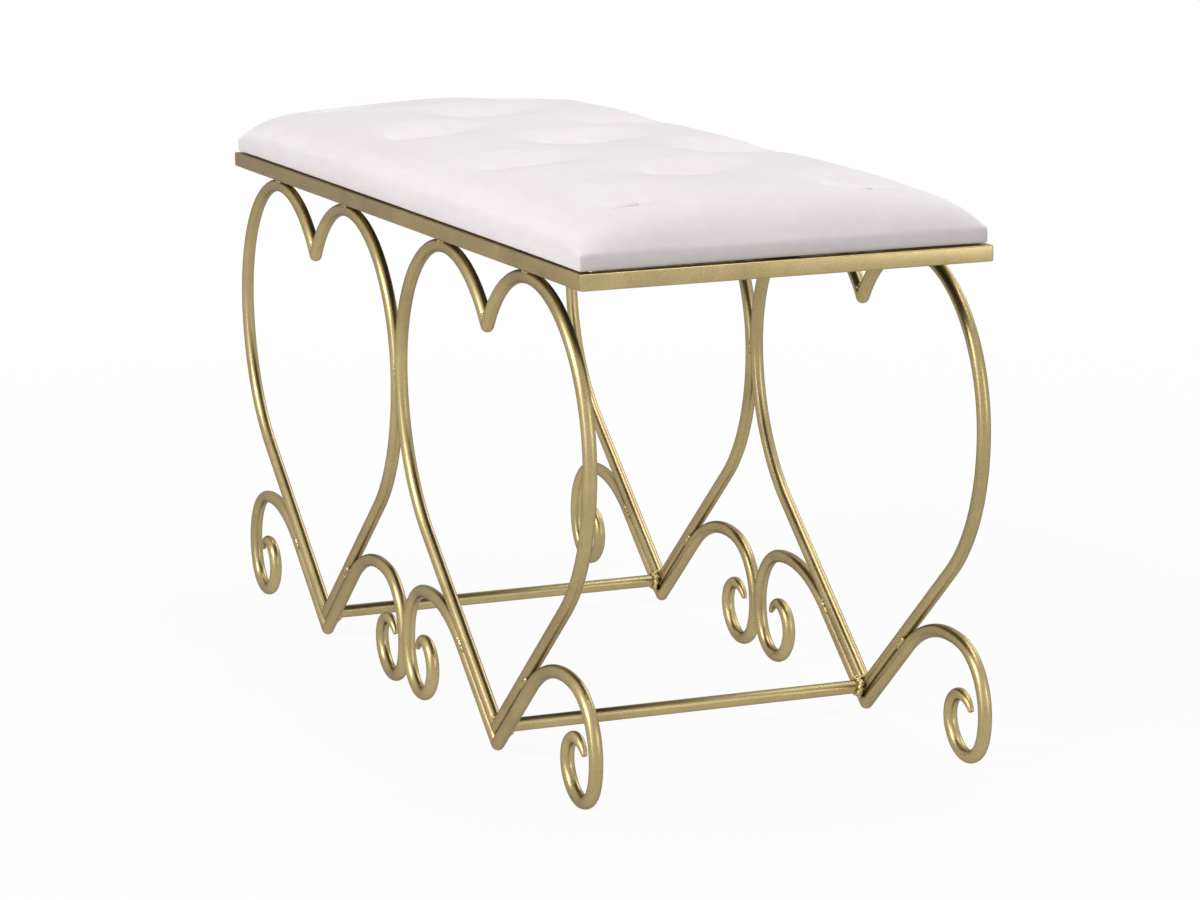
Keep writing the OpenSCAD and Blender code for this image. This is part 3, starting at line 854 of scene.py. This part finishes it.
# Heights above the rails between which the edge is smoothed, and the lumps and pleats of the velvet
ROUNDED_EDGE = (0.0100, 0.0210)
EDGE_ROUNDS = 3
LUMP_HEIGHT = 0.0009
LUMPS_PER_METRE = 14
PLEAT_DEPTH = 0.0007
PLEAT_MIDDLE = 0.005
PLEAT_REACH = 0.008
PLEAT_STRETCH = np.array([1, 1, 0.15])
PLEATS_PER_METRE = 85
WRINKLES_PER_METRE = 160
WRINKLE_SHARE = 0.5


def tuft_spots(sizes):
    """Places of the tufts in plan, in rows of four, three and four."""
    spots = [(c * sizes.tuft_pitch, r * sizes.tuft_row) for c in (-3, -1, 1, 3) for r in (-1, 1)]
    return spots + [(c * sizes.tuft_pitch, 0.0) for c in (-2, 0, 2)]


def edge_lines(half, step):
    """Places of the lines across the cushion, closer together towards its edge."""
    inside = half - EDGE_WIDTH
    count = round(inside / step)
    right = [inside * i / count for i in range(1, count + 1)] + [half - v for v in EDGE_LINES]
    return np.array([-v for v in reversed(right)] + [0.0] + right)


def end_rise(inwards):
    """Share of the crown's height reached at a distance in from an end: steep at first, then slow."""
    return sum(share * (1 - np.exp(-inwards / within)) for share, within in CROWN_RISES)


def cushion_top(sizes, xs, ys, half_l, half_w, rail_top):
    """Points of the tufted top, in rows along X, and how firmly each is held."""
    gx, gy = np.meshgrid(xs, ys)
    band_z = rail_top + sizes.band
    across = end_rise(half_l - np.abs(gx))
    along = np.sqrt(np.clip(1 - np.abs(gy / half_w) ** LONG_SIDE_POWER, 0, 1))
    crown = band_z + (sizes.crown - sizes.band) * across * along
    floor_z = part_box("tuft_buttons")[0].z - BUTTON_SINK
    held_r = sizes.button_d / 2 * BUTTON_HOLD
    dip = np.zeros_like(gx)
    held = np.zeros_like(gx)
    for spot_x, spot_y in tuft_spots(sizes):
        far = np.hypot(gx - spot_x, gy - spot_y)
        share = np.clip((far - held_r) / sizes.tuft_spread, 0, 1)
        dip = np.maximum(dip, 0.5 + 0.5 * np.cos(math.pi * share**DIP_POWER))
        held = np.maximum(held, (far < held_r).astype(float))
    top_z = crown + (floor_z - crown) * dip
    px = gx - np.sign(gx) * SIDE_PULL * (gx / half_l) ** 2 * (1 - (gy / half_w) ** 2)
    py = gy - np.sign(gy) * SIDE_PULL * (gy / half_w) ** 2 * (1 - (gx / half_l) ** 4)
    return np.stack([px, py, top_z], -1).reshape(-1, 3), held.reshape(-1)


def under_faces(last, nx, ny):
    """Faces that close the cushion from below, inside its last ring."""
    front = last[:nx]
    back = last[nx + ny - 2:2 * nx + ny - 2][::-1]
    right = last[nx - 1:nx + ny - 1]
    left = [last[0]] + last[2 * nx + ny - 3:][::-1]
    faces = [(front[i], back[i], back[i + 1], front[i + 1]) for i in range(1, nx - 2)]
    return faces + [tuple(left + [back[1], front[1]]), tuple(right + [back[-2], front[-2]])]


def shaped_sides(points, sizes, half_l, half_w):
    """The points with the cushion's upright corners rounded and its front side stood out."""
    inner = np.array([half_l, half_w]) - sizes.corner_r
    beyond = np.abs(points[:, :2]) - inner
    near = (beyond > 0).all(axis=1)
    beyond = beyond[near] * (beyond[near].max(axis=1) / np.linalg.norm(beyond[near], axis=1))[:, None]
    points[near, :2] = np.sign(points[near, :2]) * (inner + beyond)
    outer_tuft = sizes.tuft_row + sizes.button_d / 2
    share = np.clip((-points[:, 1] - outer_tuft) / (half_w - outer_tuft), 0, 1)
    taper = MIDDLE_FULLNESS + (1 - MIDDLE_FULLNESS) * points[:, 0] / half_l
    points[:, 1] -= sizes.front_fullness * share * taper
    return points


def cushion_start(sizes):
    """The cushion before it swells: points, faces and how firmly each point is held."""
    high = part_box("velvet_cover")[1]
    rail_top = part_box("front_rail")[1].z
    half_l, half_w = high.x + sizes.fullness, high.y + sizes.fullness
    xs, ys = edge_lines(half_l, sizes.mesh_step), edge_lines(half_w, sizes.mesh_step)
    nx, ny = len(xs), len(ys)
    points, holds = cushion_top(sizes, xs, ys, half_l, half_w, rail_top)
    # The top's outermost points, in order round it
    rim = (
        list(range(nx - 1)) + [nx - 1 + j * nx for j in range(ny - 1)]
        + [i + (ny - 1) * nx for i in range(nx - 1, 0, -1)] + [j * nx for j in range(ny - 1, 0, -1)]
    )
    holds[rim] = RIM_HOLD
    faces = [
        (j * nx + i, j * nx + i + 1, (j + 1) * nx + i + 1, (j + 1) * nx + i)
        for j in range(ny - 1) for i in range(nx - 1)
    ]
    around = len(rim)
    skins, all_holds, last = [points], [holds], rim
    for number, (height, inset, hold) in enumerate(SIDE_RINGS):
        ring = points[rim]
        ring[:, 0] *= 1 - inset / half_l
        ring[:, 1] *= 1 - inset / half_w
        ring[:, 2] = rail_top + height
        skins.append(ring)
        all_holds.append(np.full(around, hold))
        start = len(points) + number * around
        current = list(range(start, start + around))
        faces += [
            (last[k - around + 1], last[k], current[k], current[k - around + 1]) for k in range(around)
        ]
        last = current
    faces += under_faces(last, nx, ny)
    return shaped_sides(np.concatenate(skins), sizes, half_l, half_w), faces, np.concatenate(all_holds)


def swell(piece, holds, sizes):
    """Blows the velvet up a little between its tufts, and returns the new points."""
    group = piece.vertex_groups.new(name=CLOTH["vertex_group_mass"])
    for weight in sorted(set(np.round(holds, 3))):
        if weight > 0:
            members = np.flatnonzero(np.abs(holds - weight) < 0.001).tolist()
            group.add(members, float(weight), "REPLACE")
    cloth = piece.modifiers.new("swelling", "CLOTH")
    for key, value in CLOTH.items():
        setattr(cloth.settings, key, value)
    cloth.settings.effector_weights.gravity = 0
    cloth.collision_settings.use_collision = False
    cloth.point_cache.frame_start = 1
    cloth.point_cache.frame_end = sizes.swell_frames
    scene = bpy.context.scene
    for number in range(1, sizes.swell_frames + 1):
        scene.frame_set(number)
    evaluated = piece.evaluated_get(bpy.context.evaluated_depsgraph_get())
    moved = np.zeros(len(piece.data.vertices) * 3)
    evaluated.to_mesh().vertices.foreach_get("co", moved)
    evaluated.to_mesh_clear()
    piece.modifiers.remove(cloth)
    piece.vertex_groups.clear()
    scene.frame_set(1)
    return moved.reshape(-1, 3)


def evened(step, mesh, holds):
    """Spreads each point's movement over its neighbours, so that it leaves no creases."""
    ends = np.zeros(len(mesh.edges) * 2, dtype=int)
    mesh.edges.foreach_get("vertices", ends)
    first, second = ends.reshape(-1, 2).T
    neighbours = np.bincount(ends, minlength=len(step))[:, None]
    loose = (holds < FIRM)[:, None]
    for _ in range(EVENING_ROUNDS):
        total = np.zeros_like(step)
        np.add.at(total, first, step[second])
        np.add.at(total, second, step[first])
        step = (0.5 * step + 0.5 * total / neighbours) * loose
    return step


def soft_noise(points, scale, seed):
    """Smooth noise from -1 to 1 at each point."""
    shift = Vector((seed * 1.7, seed * 0.9, seed * 2.3))
    return np.array([noise.noise(Vector(p) * scale + shift) for p in points])


def softened_edge(mesh, rail_top):
    """A mesh's points, smoothed along the edge between the cushion's top and its side."""
    low, high = ROUNDED_EDGE
    form = bmesh.new()
    form.from_mesh(mesh)
    edge = [v for v in form.verts if low < v.co.z - rail_top < high]
    for _ in range(EDGE_ROUNDS):
        bmesh.ops.smooth_vert(form, verts=edge, factor=0.5, use_axis_x=True, use_axis_y=True, use_axis_z=True)
    points = np.array([v.co for v in form.verts])
    form.free()
    return points


def hand_sewn(points, holds, rail_top):
    """The points with slight lumps in the stuffing and small pleats round the side."""
    points[:, 2] += LUMP_HEIGHT * soft_noise(points, LUMPS_PER_METRE, seed=1) * (1 - np.clip(holds, 0, 1))
    height = points[:, 2] - rail_top
    side = np.clip(1 - np.abs(height - PLEAT_MIDDLE) / PLEAT_REACH, 0, 1)
    pleats = soft_noise(points * PLEAT_STRETCH, PLEATS_PER_METRE, seed=4)
    wrinkles = soft_noise(points, WRINKLES_PER_METRE, seed=6)
    outward = points / np.maximum(np.linalg.norm(points[:, :2], axis=1, keepdims=True), 1e-6)
    outward[:, 2] = 0
    return points + outward * (PLEAT_DEPTH * (pleats + WRINKLE_SHARE * wrinkles) * side)[:, None]


# Operators

# A rail's mitre in degrees, the rounding of the frame's corners, and the faces of a long edge
MITRE_STEPS = (0, 15, 30, 45)
CORNER_SHARE = 0.9
EDGE_FACES = 5


class BENCH_OT_rails(bpy.types.Operator):
    """Makes the four square tubes round the seat, rounded along their edges and at the corners"""

    bl_idname = "bench.rails"
    bl_label = "Rails"

    def execute(self, context):
        sizes = context.scene.bench_frame
        half_l = -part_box("left_end_rail")[0].x
        front_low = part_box("front_rail")[0]
        half_w = -front_low.y
        for name, half_run, half_off, turn in (
            ("front_rail", half_l, half_w, 0), ("back_rail", half_l, half_w, 180),
            ("left_end_rail", half_w, half_l, 270), ("right_end_rail", half_w, half_l, 90),
        ):
            mesh = self.rail(name, half_run, half_off, front_low.z, sizes)
            mesh.transform(Matrix.Rotation(math.radians(turn), 4, "Z"))
            piece = new_object(name + "_tube", mesh)
            shade(mesh, 35)
            wear(piece, material("satin_gold"))
            hand_over(piece, "gold_frame", name)
        return {"FINISHED"}

    def rail(self, name, half_run, half_off, bottom, sizes):
        """One rail along X whose outer face looks towards -Y, mitred at both ends."""
        outline = self.outline(sizes.rail_size, sizes.rail_round)
        corner = sizes.rail_round * CORNER_SHARE
        points = []
        for end, steps in ((LEFT, MITRE_STEPS[::-1]), (RIGHT, MITRE_STEPS)):
            for angle in steps:
                for depth, height in outline:
                    bend = max(0.0, corner - depth)
                    run = half_run - max(depth, corner) + bend * math.sin(math.radians(angle))
                    off = half_off - max(depth, corner) + bend * math.cos(math.radians(angle))
                    points.append((end * run, -off, bottom + height))
        count = len(outline)
        faces = [
            (start + k, start + (k + 1) % count, start + count + (k + 1) % count, start + count + k)
            for start in range(0, len(points) - count, count) for k in range(count)
        ]
        ends = [tuple(range(count)), tuple(range(len(points) - count, len(points)))]
        return mesh_from(name, points, faces + ends)

    def outline(self, size, corner):
        """Rounded square, as (depth from the outer face, height above the bottom)."""
        points = []
        for depth, height, start in (
            (corner, corner, 180), (size - corner, corner, 270),
            (size - corner, size - corner, 0), (corner, size - corner, 90),
        ):
            for i in range(EDGE_FACES + 1):
                angle = math.radians(start + 90 * i / EDGE_FACES)
                points.append((depth + corner * math.cos(angle), height + corner * math.sin(angle)))
        return points


class BENCH_OT_hearts(bpy.types.Operator):
    """Makes the eight bent halves of the four hearts"""

    bl_idname = "bench.hearts"
    bl_label = "Hearts"

    def execute(self, context):
        sizes = context.scene.bench_frame
        lines = frame_lines(sizes)
        halves("heart", heart_line(sizes, lines), sizes, lines)
        return {"FINISHED"}


class BENCH_OT_feet(bpy.types.Operator):
    """Makes the eight scrolled halves of the four feet"""

    bl_idname = "bench.feet"
    bl_label = "Scroll feet"

    def execute(self, context):
        sizes = context.scene.bench_frame
        lines = frame_lines(sizes)
        halves("foot", foot_line(sizes, lines), sizes, lines)
        return {"FINISHED"}


class BENCH_OT_crossbars(bpy.types.Operator):
    """Makes the two straight rods between the front and back hearts"""

    bl_idname = "bench.crossbars"
    bl_label = "Crossbars"

    def execute(self, context):
        sizes = context.scene.bench_frame
        heart_x = frame_lines(sizes).heart_x
        for heart, heart_name in HEARTS.items():
            node = f"{heart_name}_crossbar"
            low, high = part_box(node)
            line = [
                ((heart * heart_x, low.y + (high.y - low.y) * i / CROSSBAR_STEPS, sizes.tip_z), 1.0)
                for i in range(CROSSBAR_STEPS + 1)
            ]
            swept_rod(node, line, sizes)
        return {"FINISHED"}


class BENCH_OT_welds(bpy.types.Operator):
    """Lays the weld beads of the frame"""

    bl_idname = "bench.welds"
    bl_label = "Welds"

    def execute(self, context):
        sizes = context.scene.bench_frame
        lines = frame_lines(sizes)
        radius = sizes.rod_d / 2
        foot = self.foot_seam(lines, sizes)
        notch_z = self.notch_crease(lines, sizes)
        rail_weld_z = lines.rail_bottom - RAIL_WELD_SINK
        tip_z = sizes.tip_z + radius / math.cos(lines.slope) + TIP_LIFT
        rail_strips, heart_strips, foot_strips, collar_strips, joint_strips = [], [], [], [], []
        for side in (FRONT, BACK):
            plane = side * lines.plane_y
            grooves = [plane + face * radius * GROOVE_SHARE for face in (-1, 1)]
            heart_strips += [[(0, y, lines.lobe[1] + dz) for dz in WELD_RUN] for y in grooves]
            for heart in (LEFT, RIGHT):
                x = heart * lines.heart_x
                for half in (LEFT, RIGHT):
                    lobe_x = x + half * lines.lobe[0]
                    for y in grooves:
                        rail_strips.append([(lobe_x + dx, y, rail_weld_z) for dx in WELD_RUN])
                        foot_strips.append([(x + half * across, y, up) for across, up in foot])
                collar_strips.append(self.collar(x, side, lines, sizes))
                joint_strips.append([(x, plane + dy, notch_z) for dy in NOTCH_RUN])
                joint_strips.append([(x, plane + dy, tip_z) for dy in TIP_RUN])
        bead, collar_bead = sizes.bead, sizes.collar_bead
        # Each bead's drop size, spacing, unevenness and seed
        for name, strips, nodes, drop, spacing, unevenness, seed in (
            ("rail_beads", rail_strips, ["rail_welds"], bead, 0.0016, 0.28, 3),
            ("heart_beads", heart_strips, ["heart_welds"], bead, 0.0016, 0.28, 5),
            ("foot_beads", foot_strips, ["foot_welds"], bead * 1.6, 0.0020, 0.28, 8),
            ("crossbar_beads", collar_strips, ["crossbar_welds"], collar_bead, 0.0042, 0.22, 13),
            ("joint_beads", joint_strips, [], bead * 1.2, 0.0018, 0.25, 21),
        ):
            beads(name, strips, nodes, drop, spacing, unevenness, seed)
        return {"FINISHED"}

    def foot_seam(self, lines, sizes):
        """Points of the weld between a foot and its heart, across from the heart's middle and up."""
        ahead = ahead_of(lines.slope)
        off = left_of(lines.slope) * (sizes.rod_d / 2 + sizes.touch / 2)
        middle = np.array([0, lines.foot_tip]) + ahead * (lines.foot_straight - FOOT_WELD_BACK) + off
        return [middle + ahead * d for d in WELD_RUN]

    def collar(self, x, side, lines, sizes):
        """A slightly wavy ring round a crossbar's end, where it meets a heart."""
        ring_y = side * (lines.plane_y - sizes.rod_d / 2 - COLLAR_GAP)
        return [
            (
                x + COLLAR_R * math.cos(math.radians(a)),
                ring_y + COLLAR_WOBBLE * side * math.sin(math.radians(3 * a)),
                sizes.tip_z + COLLAR_R * math.sin(math.radians(a)),
            )
            for a in range(0, 361, COLLAR_STEP)
        ]

    def notch_crease(self, lines, sizes):
        """Height of the crease where the tops of two lobes meet in a heart's notch."""
        across, height = lines.lobe
        return height + math.sqrt((sizes.lobe_r + sizes.rod_d / 2) ** 2 - across**2) - NOTCH_SINK


class BENCH_OT_cushion(bpy.types.Operator):
    """Makes the tufted velvet cushion by cloth simulation"""

    bl_idname = "bench.cushion"
    bl_label = "Cushion"

    def execute(self, context):
        sizes = context.scene.bench_seat
        rail_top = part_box("front_rail")[1].z
        points, faces, holds = cushion_start(sizes)
        mesh = bpy.data.meshes.new("tufted_cushion")
        mesh.from_pydata(points.tolist(), [], faces)
        piece = new_object("tufted_cushion", mesh)
        step = evened(swell(piece, holds, sizes) - points, mesh, holds)
        far = np.linalg.norm(step, axis=1, keepdims=True)
        points = points + step * np.minimum(1, sizes.swell_limit / np.maximum(far, 1e-9))
        mesh.vertices.foreach_set("co", points.reshape(-1))
        points = hand_sewn(softened_edge(mesh, rail_top), holds, rail_top)
        mesh.vertices.foreach_set("co", points.reshape(-1))
        face_outwards(mesh)
        finer = piece.modifiers.new("finer", "SUBSURF")
        finer.levels = 1
        finer.render_levels = 1
        piece = made_plain(piece, "velvet_cushion")
        shade(piece.data, 180)
        wear(piece, material("pale_velvet"))
        hand_over(piece, "velvet", "velvet_cover", "foam_pad")
        return {"FINISHED"}


# How much of its height a button's dome shows, how far its cloth puckers, and the seed of its turn
BUTTON_DOME_SHARE = 0.9
BUTTON_PUCKER = 0.0008
BUTTON_SEED = 3


class BENCH_OT_buttons(bpy.types.Operator):
    """Makes the eleven covered buttons, sunk in their tufts"""

    bl_idname = "bench.buttons"
    bl_label = "Buttons"

    def execute(self, context):
        sizes = context.scene.bench_seat
        velvet = material("button_velvet")
        base_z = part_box("tuft_buttons")[0].z
        spots = bpy.data.meshes.new("button_spots")
        spots.from_pydata([(x, y, base_z) for x, y in tuft_spots(sizes)], [], [])
        marks = new_object("button_spots", spots)
        shape_by(
            marks, button_tree(),
            {
                "Diameter": sizes.button_d, "Dome height": sizes.button_h * BUTTON_DOME_SHARE,
                "Pucker": BUTTON_PUCKER, "Seed": BUTTON_SEED, "Material": velvet,
            },
        )
        piece = made_plain(marks, "covered_buttons")
        wear(piece, velvet)
        hand_over(piece, "velvet_button", "tuft_buttons")
        return {"FINISHED"}


# Faces of the lining, and the slight waves across it, which sway along it and end at its taut edge
LINING_FACES_X, LINING_FACES_Y = 97, 33
LINING_WALL = 0.0005
RIPPLE_HEIGHT = 0.00012
RIPPLE_WAVES = 190
RIPPLE_SWAY = 2
SWAY_WAVES = 9
TAUT_EDGE = 0.05


class BENCH_OT_lining(bpy.types.Operator):
    """Makes the thin black cloth stretched under the seat"""

    bl_idname = "bench.lining"
    bl_label = "Lining"

    def execute(self, context):
        low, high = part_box("dust_cover")
        span = high - low
        points = [
            self.ripple(low.x + span.x * i / LINING_FACES_X, low.y + span.y * j / LINING_FACES_Y, low, high)
            for j in range(LINING_FACES_Y + 1) for i in range(LINING_FACES_X + 1)
        ]
        row = LINING_FACES_X + 1
        faces = [
            (a, a + 1, a + row + 1, a + row)
            for a in (j * row + i for j in range(LINING_FACES_Y) for i in range(LINING_FACES_X))
        ]
        sheet = new_object("lining_sheet", mesh_from("lining", points, faces))
        thickness = sheet.modifiers.new("thickness", "SOLIDIFY")
        thickness.thickness = LINING_WALL
        thickness.offset = 0
        piece = made_plain(sheet, "under_lining")
        shade(piece.data, 60)
        wear(piece, material("black_lining"))
        hand_over(piece, "dust_cloth", "dust_cover")
        return {"FINISHED"}

    def ripple(self, x, y, low, high):
        """A point of the sheet, with the slight waves of stretched cloth away from its edges."""
        slack = min(1, min(high.x - abs(x), high.y - abs(y)) / TAUT_EDGE)
        wave = RIPPLE_HEIGHT * math.sin(y * RIPPLE_WAVES + RIPPLE_SWAY * math.sin(x * SWAY_WAVES)) * slack
        return x, y, (low.z + high.z) / 2 + wave


class BENCH_OT_fittings(bpy.types.Operator):
    """Gives the board, brackets, screws, tacks and twine their finishes"""

    bl_idname = "bench.fittings"
    bl_label = "Board and fixings"

    def execute(self, context):
        for node, finish in (
            ("seat_board", "birch_plywood"), ("seat_brackets", "satin_gold"), ("seat_screws", "zinc_steel"),
            ("dust_cover_tacks", "blued_steel"), ("tuft_twines", "waxed_twine"),
        ):
            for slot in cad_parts[node].material_slots:
                slot.material = material(finish)
        return {"FINISHED"}


# Stage

# A round floor, which shows its shadow near the bench and is plain white further out
FLOOR_R = 9
FLOOR_SIDES = 96
FLOOR_GREY = (0.85, 0.85, 0.85, 1)
NEAR_FLOOR, FAR_FLOOR = 0.6, 2.2
SHADOW_SHARE = 0.93
WHITE = (1, 1, 1, 1)
AMBIENT = 0.4
LAMP_AIM = Vector((0, 0, 0.3))

# Name, place, width and height, watts, and whether the lamp lights plain surfaces
LAMPS = (
    ("key_lamp", (0.9, -2.9, 2.7), (2.3, 1.3), 82, True),
    ("fill_lamp", (3.4, 1.9, 1.6), (1.3, 1.0), 3, True),
    ("top_lamp", (-0.25, 0.6, 3.2), (2.6, 0.9), 33, True),
    ("back_lamp", (-1.6, 3.0, 1.9), (1.8, 1.2), 24, True),
    ("shine_card", (2.9, 1.7, 0.9), (0.5, 1.4), 9, False),
    ("strip_card", (1.35, -2.9, 0.9), (0.45, 1.8), 12, False),
)

# The camera, fitted to the photograph, with its sensor and lens in millimetres
CAMERA_PLACE = (3.66637, -1.35535, 0.92877)
CAMERA_TURN = math.radians(69.457)
CAMERA_HEIGHT = math.radians(10.419)
CAMERA_ROLL = math.radians(-1.175)
CAMERA_SENSOR = 36
CAMERA_LENS = 128.3


class BENCH_OT_stage(bpy.types.Operator):
    """Makes the pale floor, the soft lamps, the world and the camera"""

    bl_idname = "bench.stage"
    bl_label = "Stage"

    def execute(self, context):
        self.floor()
        self.world(context.scene)
        for lamp in LAMPS:
            self.lamp(*lamp)
        self.camera(context.scene)
        context.scene.view_settings.view_transform = "Standard"
        return {"FINISHED"}

    def empty_tree(self, made):
        """The node tree of a new material or world, without its first nodes."""
        made.use_nodes = True
        made.node_tree.nodes.clear()
        return made.node_tree

    def shown(self, tree):
        """A node that gives 1 to the camera, reflections and glass, and 0 to other light."""
        path = add(tree, "ShaderNodeLightPath")
        direct = maths(tree, "MAXIMUM")
        shown = maths(tree, "MAXIMUM")
        wire(
            tree,
            (path, "Is Camera Ray", direct, 0),
            (path, "Is Glossy Ray", direct, 1),
            (direct, 0, shown, 0),
            (path, "Is Transmission Ray", shown, 1),
        )
        return shown

    def floor(self):
        """A wide pale floor that stays white to the camera and keeps a soft shadow."""
        turns = [math.tau * i / FLOOR_SIDES for i in range(FLOOR_SIDES)]
        mesh = bpy.data.meshes.new("floor")
        rim = [(FLOOR_R * math.cos(turn), FLOOR_R * math.sin(turn), 0) for turn in turns]
        mesh.from_pydata(rim, [], [tuple(range(FLOOR_SIDES))])
        made = bpy.data.materials.new("pale_floor")
        tree = self.empty_tree(made)
        shown = self.shown(tree)
        place = add(tree, "ShaderNodeTexCoord")
        far = add(tree, "ShaderNodeVectorMath", operation="LENGTH")
        share = map_range(tree, NEAR_FLOOR, FAR_FLOOR, SHADOW_SHARE, 1.0)
        amount = maths(tree, "MULTIPLY")
        matt = add(tree, "ShaderNodeBsdfDiffuse", {"Color": FLOOR_GREY})
        white = add(tree, "ShaderNodeEmission", {"Color": WHITE, "Strength": 1.0})
        mix = add(tree, "ShaderNodeMixShader")
        out = add(tree, "ShaderNodeOutputMaterial")
        wire(
            tree,
            (place, "Object", far, 0),
            (far, "Value", share, "Value"),
            (shown, 0, amount, 0),
            (share, 0, amount, 1),
            (amount, 0, mix, 0),
            (matt, 0, mix, 1),
            (white, 0, mix, 2),
            (mix, 0, out, "Surface"),
        )
        mesh.materials.append(made)
        new_object("floor", mesh)

    def world(self, scene):
        """White to the camera and in reflections, and a soft grey light elsewhere."""
        made = bpy.data.worlds.new("pale_studio")
        tree = self.empty_tree(made)
        shown = self.shown(tree)
        white = add(tree, "ShaderNodeBackground", {"Color": WHITE, "Strength": 1.0})
        soft = add(tree, "ShaderNodeBackground", {"Color": WHITE, "Strength": AMBIENT})
        mix = add(tree, "ShaderNodeMixShader")
        out = add(tree, "ShaderNodeOutputWorld")
        wire(tree, (shown, 0, mix, 0), (soft, 0, mix, 1), (white, 0, mix, 2), (mix, 0, out, "Surface"))
        scene.world = made

    def lamp(self, name, place, size, power, lights_all):
        """A soft lamp aimed at the middle of the bench."""
        data = bpy.data.lights.new(name, "AREA")
        data.shape = "RECTANGLE"
        data.size, data.size_y = size
        data.energy = power
        lamp = new_object(name, data)
        lamp.location = place
        lamp.rotation_euler = (LAMP_AIM - Vector(place)).to_track_quat("-Z", "Y").to_euler()
        lamp.visible_diffuse = lights_all

    def camera(self, scene):
        """The camera at the photograph's viewing angle."""
        data = bpy.data.cameras.new("camera")
        data.sensor_width = CAMERA_SENSOR
        data.lens = CAMERA_LENS
        level = math.cos(CAMERA_HEIGHT)
        back = Vector(
            (math.sin(CAMERA_TURN) * level, -math.cos(CAMERA_TURN) * level, math.sin(CAMERA_HEIGHT))
        )
        right = (-back).cross(Vector((0, 0, 1))).normalized()
        up = right.cross(-back)
        rolled_right = math.cos(CAMERA_ROLL) * right + math.sin(CAMERA_ROLL) * up
        rolled_up = -math.sin(CAMERA_ROLL) * right + math.cos(CAMERA_ROLL) * up
        facing = Matrix((rolled_right, rolled_up, back)).transposed()
        camera = new_object("camera", data)
        camera.matrix_world = Matrix.Translation(CAMERA_PLACE) @ facing.to_4x4()
        scene.camera = camera


# Panel and registration

OPERATORS = (
    BENCH_OT_rails, BENCH_OT_hearts, BENCH_OT_feet, BENCH_OT_crossbars, BENCH_OT_welds, BENCH_OT_cushion,
    BENCH_OT_buttons, BENCH_OT_lining, BENCH_OT_fittings, BENCH_OT_stage,
)


class BENCH_PT_bench(bpy.types.Panel):
    """Lists the bench's sizes, colours and pieces"""

    bl_idname = "BENCH_PT_bench"
    bl_label = "Bench"
    bl_space_type = "VIEW_3D"
    bl_region_type = "UI"
    bl_category = "Bench"

    def draw(self, context):
        scene = context.scene
        for title, group in (
            ("Frame", scene.bench_frame), ("Seat", scene.bench_seat), ("Colours", scene.bench_colours),
        ):
            box = self.layout.box()
            box.label(text=title)
            for key in group.__annotations__:
                box.prop(group, key)
        for operator in OPERATORS:
            self.layout.operator(operator.bl_idname)


CLASSES = (BenchFrameSizes, BenchSeatSizes, BenchColours, *OPERATORS, BENCH_PT_bench)


def register():
    for item in CLASSES:
        bpy.utils.register_class(item)
    bpy.types.Scene.bench_frame = PointerProperty(type=BenchFrameSizes)
    bpy.types.Scene.bench_seat = PointerProperty(type=BenchSeatSizes)
    bpy.types.Scene.bench_colours = PointerProperty(type=BenchColours)


def unregister():
    del bpy.types.Scene.bench_colours
    del bpy.types.Scene.bench_seat
    del bpy.types.Scene.bench_frame
    for item in reversed(CLASSES):
        bpy.utils.unregister_class(item)


def main():
    register()
    for operator in OPERATORS:
        getattr(bpy.ops.bench, operator.bl_idname.partition(".")[2])()


if __name__ == "__main__":
    main()
